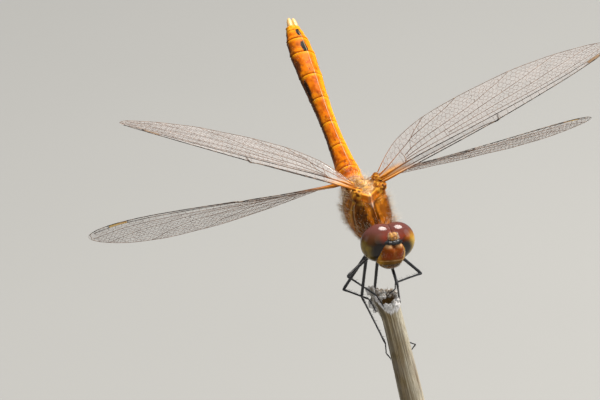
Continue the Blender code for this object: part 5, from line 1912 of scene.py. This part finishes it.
# Paler, less clear clouds in the film are painted glints.
glint_cloud, _ = worn(tree, 420.0)
sheet_tint = blend_colours(tree, glint_cloud, markings_of(tree), (0.55, 0.49, 0.46))
root_mask = node(tree, "ShaderNodeAttribute", attribute_name="root_share").outputs["Fac"]
wire(tree, blend_colours(tree, root_mask, sheet_tint, markings_of(tree)), shader.inputs["Base Color"])
glint_alpha = spread(tree, glint_cloud, 0.0, 1.0, 0.12, 0.27)
alpha_sum = node(tree, "ShaderNodeMath", operation="ADD", use_clamp=True)
root_alpha = spread(tree, root_mask, 0.0, 0.7, 0.0, 0.9)
wire(tree, glint_alpha, alpha_sum.inputs[0])
wire(tree, root_alpha, alpha_sum.inputs[1])
wire(tree, alpha_sum.outputs[0], shader.inputs["Alpha"])
ripple = node(tree, "ShaderNodeTexNoise", Scale=1100.0, Detail=2.0)
wire(tree, object_place(tree), ripple.inputs["Vector"])
bumped(tree, shader, ripple.outputs["Fac"], 0.3, 0.0001)

wing_vein = worn_finish(
    "wing_vein", 1500.0, (0.75, 0.7, 0.66), (0.25, 0.42), (0.2, 0.00001),
    Coat_Weight=0.12, Coat_Roughness=0.2, Specular_IOR_Level=0.2,
)[0]


def tip_cell_finish(name, dull, bright):
    """Cloudy horn of the thick cell near a wing's tip."""
    horn, tree, shader = new_finish(name, Coat_Weight=0.2)
    cloud, pit = worn(tree, 1100.0)
    wire(tree, ramp(tree, cloud, (0.2, dull), (0.8, bright)), shader.inputs["Base Color"])
    vary(tree, shader, "Roughness", cloud, 0.35, 0.5)
    bumped(tree, shader, pit, 0.25, 0.00002)
    return horn


# The forewings' cells are painted dull brown as shade, the hindwings' yellow as lit through.
tip_horn = {
    "forewing": tip_cell_finish("forewing_tip_cell", (0.2, 0.12, 0.06), (0.36, 0.24, 0.14)),
    "hindwing": tip_cell_finish("hindwing_tip_cell", (0.62, 0.3, 0.05), (0.85, 0.56, 0.16)),
}


def wing_share(name, at):
    """A point's share of the way along its wing's span."""
    _, span, hinge, out = wing_line(name)
    return (at - hinge).dot(out) / span


def root_reach(kind, share, depth):
    """1 in the amber root patch, 0 in the clear sheet."""
    reach = 0.1 if kind == "forewing" else 0.11
    patch = 1 - ease(share + 0.03 * depth, reach * 0.5, reach * 1.5)
    if kind == "forewing":
        fading = 1 - ease(depth, 0.45 - 2.5 * share, 0.75 - 3.0 * share)
        return patch * fading * (0.85 + 0.15 * sin(depth * 60))
    return patch * (1 - 0.3 * depth)


def wing_sheet(name):
    """One wing's clear sheet, closer cornered near its front, root and tip."""
    kind = name.split("_")[0]
    bpy.ops.mesh.primitive_grid_add(x_subdivisions=44, y_subdivisions=150, size=2)
    sheet = bpy.context.object
    shades = sheet.data.attributes.new("root_share", "FLOAT", "POINT")
    markings = sheet.data.color_attributes.new("markings", "FLOAT_COLOR", "POINT")
    for corner, shade, paint in zip(sheet.data.vertices, shades.data, markings.data):
        depth = ((corner.co.x + 1) / 2) ** 1.35
        share = (1 - cos(pi * (corner.co.y + 1) / 2)) / 2
        corner.co = wing_spot(name, share, depth)
        shade.value = root_reach(kind, share, depth)
        # The film's paler pinkish patches are painted glints.
        streak = 0.5 + 0.5 * noise.noise(Vector((share * 14, depth * 10, 1.0)))
        tone = mixed((0.42, 0.36, 0.33), (0.6, 0.52, 0.48), streak)
        paint.color = (*mixed(tone, ROOT_AMBER, shade.value), 1.0)
    return thickened(sheet, SHEET_THICKNESS)


def vein_tone(name, warm, base):
    """Orange veins in the amber root, then the base colour with pale flecks."""
    kind = name.split("_")[0]

    def tone(corner):
        share = wing_share(name, corner.co)
        fleck = noise.noise(corner.co * 3.0)
        shown = mixed(base, VEIN_PALE, 0.5 * ease(fleck, -0.1, 0.4))
        reach = warm if kind == "forewing" else warm * 1.3
        return mixed(VEIN_ORANGE, shown, ease(share + 0.02 * fleck, reach * 0.45, reach * 1.6))

    return tone


for name in WING_POSES:
    kind = name.split("_")[0]
    veins = FORE_VEINS if kind == "forewing" else HIND_VEINS
    nodus, (stigma_start, stigma_end) = NODUS[kind], STIGMA[kind]
    fitted(wing_sheet(name), f"{name}_sheet", body_place, [clear_sheet], "wing_film", name)

    edge = [(0.995 * i / EDGE_STEPS, 0.0) for i in range(EDGE_STEPS + 1)]
    thick = [0.055 + 0.05 * hump(s, 0, 0.06) - 0.02 * s + 0.02 * hump(s, nodus, 0.008) for s, _ in edge]
    strong = [vein_run(name, edge, thick)]
    strong.append(long_vein(name, "second", 0.0, nodus, 0.06, 0.04))
    strong.append(long_vein(name, "third", 0.0, 0.975, 0.07, 0.034, 80))
    joint = vein_depth(kind, "third", nodus)
    brace = ((nodus, 0.0), (nodus + 0.004, joint / 2), (nodus + 0.006, joint))
    strong.append(vein_run(name, brace, (0.05, 0.045, 0.04)))
    for stop in (stigma_start, stigma_end):
        depth = vein_depth(kind, "third", stop)
        strong.append(vein_run(name, ((stop - 0.003, 0.0), (stop + 0.003, depth)), (0.035, 0.035)))
    main_veins = painted(tubed(strong, 2), vein_tone(name, 0.1, VEIN_DARK))
    fitted(main_veins, f"{name}_main_veins", body_place, [wing_vein], "wing_film")

    lesser = []
    for vein, table in veins.items():
        if vein not in ("second", "third"):
            lesser.append(long_vein(name, vein, table[0][0], table[-1][0], 0.042, 0.024))
    arch = vein_depth(kind, "ninth", ARCH)
    start = vein_depth(kind, "third", ARCH)
    bow = ((ARCH, start), (ARCH + 0.007, (start + arch) / 2), (ARCH, arch))
    lesser.append(vein_run(name, bow, (0.04,) * 3))
    heel = vein_depth(kind, "seventh", 0.155)
    toe = vein_depth(kind, "ninth", 0.165)
    triangle = ((0.15, heel), (0.176, heel + 0.01), (0.165, toe), (0.15, heel))
    lesser.append(vein_run(name, triangle, (0.034,) * 4))
    rim = [(0.003 + 0.99 * i / RIM_STEPS, 1.0) for i in range(RIM_STEPS + 1)]
    lesser.append(vein_run(name, rim, [0.026 + 0.03 * hump(s, 0, 0.03) for s, _ in rim]))
    tip = [(0.99, i / 8) for i in range(9)]
    lesser.append(vein_run(name, tip, [0.026] * 9))
    long_veins = painted(tubed(lesser, 1), vein_tone(name, 0.085, VEIN_BROWN))
    fitted(long_veins, f"{name}_long_veins", body_place, [wing_vein], "wing_film")

    chance = random.Random(len(name) * 7 + len(kind))
    net = []
    for front, rear, start, end, length, size in VEIN_FIELDS[kind]:
        net += field_cells(name, front, rear, start, end, length, size, chance)
    cell_net = painted(tubed(net, 0), vein_tone(name, 0.06, VEIN_BROWN))
    fitted(cell_net, f"{name}_cell_net", body_place, [wing_vein], "wing_film")

    bpy.ops.mesh.primitive_grid_add(x_subdivisions=6, y_subdivisions=16, size=2)
    cell = bpy.context.object
    for corner in cell.data.vertices:
        share = stigma_start + 0.004 + (stigma_end - stigma_start - 0.006) * (corner.co.y + 1) / 2
        reach = vein_depth(kind, "third", share)
        corner.co = wing_spot(name, share, reach * (0.08 + 0.84 * (corner.co.x + 1) / 2))
    thickened(cell, CELL_THICKNESS)
    soft = cell.modifiers.new("cell_edge", "BEVEL")
    soft.width = CELL_EDGE
    soft.segments = 2
    bpy.ops.object.modifier_apply(modifier=soft.name)
    bpy.ops.object.shade_smooth()
    fitted(cell, f"{name}_tip_cell", body_place, [tip_horn[kind]], "wing_film")

# Wing hinges: the small hard plates that each wing turns on, of tawny cuticle with dark
# flecks, set in the skin of the thorax so that they bulge from it.
HINGE_PLATES = (
    # ahead of the hinge, outward, up, then half sizes along, across and high
    (0.0, -0.1, -0.22, 0.62, 0.42, 0.2), (-0.45, -0.2, -0.22, 0.34, 0.36, 0.16),
    (0.42, -0.2, -0.4, 0.3, 0.4, 0.26), (-0.1, -0.5, -0.24, 0.4, 0.3, 0.14),
)


def hinge_relief(at):
    """The hinge plates' uneven surface."""
    return 0.035 * noise.noise(at * 5.5) - 0.02 * abs(noise.noise(at * 11))


def hinge_tone(corner):
    """Orange-brown plates, yellow in patches and dark in others."""
    fleck = noise.noise(corner.co * 3.4)
    tone = mixed((0.4, 0.12, 0.008), (0.8, 0.4, 0.06), ease(fleck, -0.05, 0.3))
    return mixed(tone, UMBER, 0.8 * ease(-fleck, 0.08, 0.3))


for name in WING_POSES:
    kind, side_name = name.split("_")
    side = 1 if side_name == "left" else -1
    hinge = WINGS[kind][1]
    plates = []
    for ahead, out, lift, along, wide, high in HINGE_PLATES:
        lift += 0.05 if kind == "hindwing" else 0
        centre = (hinge[0] + ahead, side * (hinge[1] + out), hinge[2] + lift)
        plates.append(globe(centre, (along, wide, high), 28, 18, hinge_relief))
    hinge_plates = painted(joined(plates), hinge_tone)
    fitted(hinge_plates, f"{name}_hinge", body_place, [hide], "ochre_cuticle")

# Legs: six slim black limbs of thin hard tube, each with a hip, a thigh, a shin and a
# three-part foot with two claws, and rows of fine stiff spines. They grip the broken stem.
HIPS = {"fore": (3.15, 0.5, -3.32), "mid": (2.1, 0.62, -3.36), "hind": (0.95, 0.62, -3.32)}
THIGH = {"fore": 4.5, "mid": 5.6, "hind": 6.9}
SHIN = {"fore": 3.5, "mid": 4.2, "hind": 6.3}
KNEE_POLES = {
    "fore_right": (0.1, -0.9, 0.4), "fore_left": (0.9, -0.2, 0.4),
    "mid_right": (-0.8, -0.45, -0.4), "mid_left": (-0.45, 0.705, -0.3),
    "hind_right": (-0.9, -0.15, -0.45), "hind_left": (-0.81, -0.38, -0.45),
}
# Ankle and foot as height above the rim, degrees round the stem and distance from its axis.
FOOT_HOLDS = {
    "fore_right": ((1.2, -138, 1.62), (0.5, -130, 1.42), (-0.25, -118, 1.36)),
    "fore_left": ((-0.8, 30, 1.36), (-1.5, 55, 1.36), (-2.0, 82, 1.38)),
    "mid_right": ((0.8, -165, 2.2), (0.2, -160, 2.0), (-0.6, -158, 1.84)),
    "mid_left": ((1.2, 50, 1.6), (1.05, -2, 1.0), (0.85, -40, 0.5), (0.45, 180, 0.1)),
    "hind_right": ((-4.6, 179, 1.62), (-5.7, 176, 1.78), (-6.5, 160, 1.6)),
    "hind_left": ((-5.3, 48, 1.42), (-5.75, 30, 1.95), (-6.25, 42, 1.44)),
}
# The solids' feet are thicker and stand off the stem; these are let down onto it.
SOLID_FOOT = 0.25
SOLID_STANDOFF = 0.06
FOOT_CLEARANCE = 0.07
INNER_FOOT_SINK = 0.1
THIGH_RADIUS = 0.165
SHIN_RADIUS = 0.105
FOOT_RADIUS = 0.068
SPINE_RADII = (0.022, 0.016)
# Radii of the hip, thigh, shin and foot parts as (share of length, radius).
HIP_TAPER = ((0.0, 0.3), (0.5, 0.34), (1.0, 0.2))
THIGH_TAPER = (
    (0.0, 0.17), (0.06, 0.215), (0.1, 0.16), (0.14, 0.18), (0.5, THIGH_RADIUS), (0.9, 0.15),
    (0.97, 0.17), (1.0, 0.12),
)
SHIN_TAPER = ((0.0, 0.12), (0.05, 0.14), (0.12, SHIN_RADIUS), (0.85, 0.095), (0.96, 0.115), (1.0, 0.08))
FOOT_TAPER = ((0.0, 0.05), (0.12, FOOT_RADIUS), (0.8, 0.06), (0.94, 0.075), (1.0, 0.045))

body_to_perch = perch_place.inverted() @ body_place


def foot_spot(hold, sink):
    """A foot's point in the stem's frame, let down onto the stem by the sink."""
    height, turn, distance = hold
    return round_axis(distance - sink, turn, height)


def knee_spot(hip, ankle, thigh, shin, pole):
    """Where the knee lies, bent toward the pole, between a hip and an ankle."""
    reach = ankle - hip
    along = reach.normalized()
    before = (thigh**2 - shin**2 + reach.length_squared) / (2 * reach.length)
    rise = sqrt(max(thigh**2 - before**2, 0.0))
    outward = (pole - along * pole.dot(along)).normalized()
    return hip + along * before + outward * rise


def tapered(points, marks):
    """A run of points with radii read from marks of (share of its length, radius)."""
    lengths = [0.0]
    for a, b in zip(points, points[1:]):
        lengths.append(lengths[-1] + (b - a).length)
    radii = [straight_row(marks, length / lengths[-1]) for length in lengths]
    return list(zip(points, radii))


def between(a, b, steps, bow=None):
    """Points from a to b, bowed sideways by bow at the middle."""
    bow = bow or Vector()
    return [a.lerp(b, i / steps) + bow * sin(pi * i / steps) for i in range(steps + 1)]


def spine_row(strands, a, b, out, count, length, start, end):
    """Stiff spines from a limb between two shares of it, slanting toward its far end."""
    along = (b - a).normalized()
    for i in range(count):
        root = a.lerp(b, start + (end - start) * (i + 0.5) / count)
        way = (out + along * 0.75).normalized()
        reach = length * (0.8 + 0.35 * sin(i * 2.4))
        points = [root, root + way * reach * 0.5, root + way * reach + along * 0.04]
        add_strand(strands, points, SPINE_RADII, (0.02, 0.02, 0.022), (0.05, 0.05, 0.055))


def limb(piece, name, *nodes):
    """Ends a part of a leg, in black cuticle."""
    fitted(piece, name, perch_place, [black_shell], "black_cuticle", *nodes)


for pair in ("fore", "mid", "hind"):
    for side_name, side in (("left", 1), ("right", -1)):
        name = f"{pair}_{side_name}"
        x, y, z = HIPS[pair]
        hip = body_to_perch @ Vector((x, side * y, z))
        pole = (body_to_perch.to_3x3() @ Vector(KNEE_POLES[name])).normalized()
        cad_ankle = foot_spot(FOOT_HOLDS[name][0], 0.0)
        knee = knee_spot(hip, cad_ankle, THIGH[pair], SHIN[pair], pole)
        sink = SOLID_FOOT + SOLID_STANDOFF - FOOT_CLEARANCE
        if name == "mid_left":
            sink = INNER_FOOT_SINK
        ankle, *foot = [foot_spot(hold, sink) for hold in FOOT_HOLDS[name]]
        down = (knee - hip).normalized()
        shin_way = (ankle - knee).normalized()

        socket = body_to_perch @ Vector((x + 0.1, side * y * 1.12, z + 0.75))
        hip_run = tapered([socket, socket.lerp(hip, 0.6), hip + down * 0.12], HIP_TAPER)
        thigh_way = between(hip + down * 0.05, knee - down * 0.03, 16, pole * 0.06)
        thigh = tubed([hip_run, tapered(thigh_way, THIGH_TAPER)], 4)
        limb(thigh, f"leg_{name}_thigh", f"leg_{name}_femur")

        shin_line = between(knee - shin_way * 0.02, ankle, 14, pole * -0.03)
        shin = tubed([tapered(shin_line, SHIN_TAPER)], 4)
        limb(shin, f"leg_{name}_shin", f"leg_{name}_tibia")

        stops = [ankle, *foot]
        runs = [tapered(between(a, b, 8), FOOT_TAPER) for a, b in zip(stops, stops[1:])]
        last = (stops[-1] - stops[-2]).normalized()
        wide = last.orthogonal().normalized()
        for spread_out in (-1, 1):
            claw = ((0.0, 0.0, 0.03), (0.12, 0.07, 0.024), (0.2, 0.12, 0.008))
            runs.append([(stops[-1] + last * on + wide * spread_out * off, r) for on, off, r in claw])
        limb(tubed(runs, 3), f"leg_{name}_foot", f"leg_{name}_tarsus")

        spines = new_strands()
        plane = down.cross(shin_way).normalized()
        under = (shin_way - down * shin_way.dot(down)).normalized()
        for tilt in (-0.7, 0.7):
            out = (under + plane * tilt).normalized()
            spine_row(spines, hip, knee, out, 12 if pair == "hind" else 9, 0.26, 0.25, 0.96)
        inner = (-(down - shin_way * down.dot(shin_way))).normalized()
        for tilt in (-0.6, 0.6):
            out = (inner + plane * tilt).normalized()
            spine_row(spines, knee, ankle, out, 13 if pair == "hind" else 9, 0.5, 0.08, 0.95)
        for a, b in zip(stops, stops[1:]):
            spine_row(spines, a, b, (plane - last * 0.2).normalized(), 4, 0.13, 0.1, 0.95)
        limb(strands_mesh(spines, f"leg_{name}_spines"), f"leg_{name}_spines")

# Stage: a plain pale floor, soft studio light from above, the front and both sides, and the
# camera a long way off, looking down on the insect's face by twenty degrees.
VIEW_DOWN = radians(20)
VIEW_DISTANCE = 600.0
VIEW_SHIFT = (-6.73, 0.65)
VIEW_LENS = 360.0
VIEW_SENSOR = 36.0
FLOOR_SIZE = 6
FLOOR = (0.34, 0.34, 0.327)

pale_floor = worn_finish("floor_pale_paint", 3.0, (FLOOR, (0.365, 0.365, 0.35)), Roughness=0.85)[0]
bpy.ops.mesh.primitive_plane_add(size=FLOOR_SIZE)
floor_plane = bpy.context.object
floor_plane.name = "floor"
floor_plane.data.materials.append(pale_floor)


def softbox(name, toward, distance, size, power, colour=(1.0, 1.0, 1.0)):
    """A round area light that faces the insect from the given direction."""
    target = body_place.translation
    away = Vector(toward).normalized()
    bpy.ops.object.light_add(type="AREA", location=target + away * distance)
    lamp = bpy.context.object
    lamp.name = name
    lamp.data.shape = "DISK"
    lamp.data.size = size
    lamp.data.energy = power
    lamp.data.color = colour
    lamp.rotation_euler = (-away).to_track_quat("-Z", "Y").to_euler()


softbox("key_light", (0.3, 0.12, 0.85), 0.5, 0.31, 4.9, (1.0, 0.96, 0.91))
softbox("front_light", (0.45, -1.0, 0.45), 0.8, 1.0, 1.3)
softbox("left_light", (-1.0, -0.25, 0.35), 0.8, 0.5, 0.35)
softbox("right_light", (1.0, 0.0, 0.4), 0.8, 0.5, 1.0)
world = bpy.data.worlds.new("studio_air")
world.use_nodes = True
world.node_tree.nodes["Background"].inputs["Color"].default_value = (0.9, 0.94, 1.0, 1.0)
world.node_tree.nodes["Background"].inputs["Strength"].default_value = 0.25
bpy.context.scene.world = world
bpy.context.scene.view_settings.view_transform = "Standard"

across = Vector((1, 0, 0))
upright = Vector((0, sin(VIEW_DOWN), cos(VIEW_DOWN)))
inward = Vector((0, cos(VIEW_DOWN), -sin(VIEW_DOWN)))
aim = body_place.translation + (across * VIEW_SHIFT[0] + upright * VIEW_SHIFT[1]) * MM
bpy.ops.object.camera_add(location=aim - inward * VIEW_DISTANCE * MM)
camera = bpy.context.object
camera.data.lens = VIEW_LENS
camera.data.sensor_width = VIEW_SENSOR
camera.data.clip_start = 0.01
camera.data.clip_end = 20.0
camera.rotation_euler = inward.to_track_quat("-Z", "Y").to_euler()
bpy.context.scene.camera = camera

bpy.context.view_layer.update()
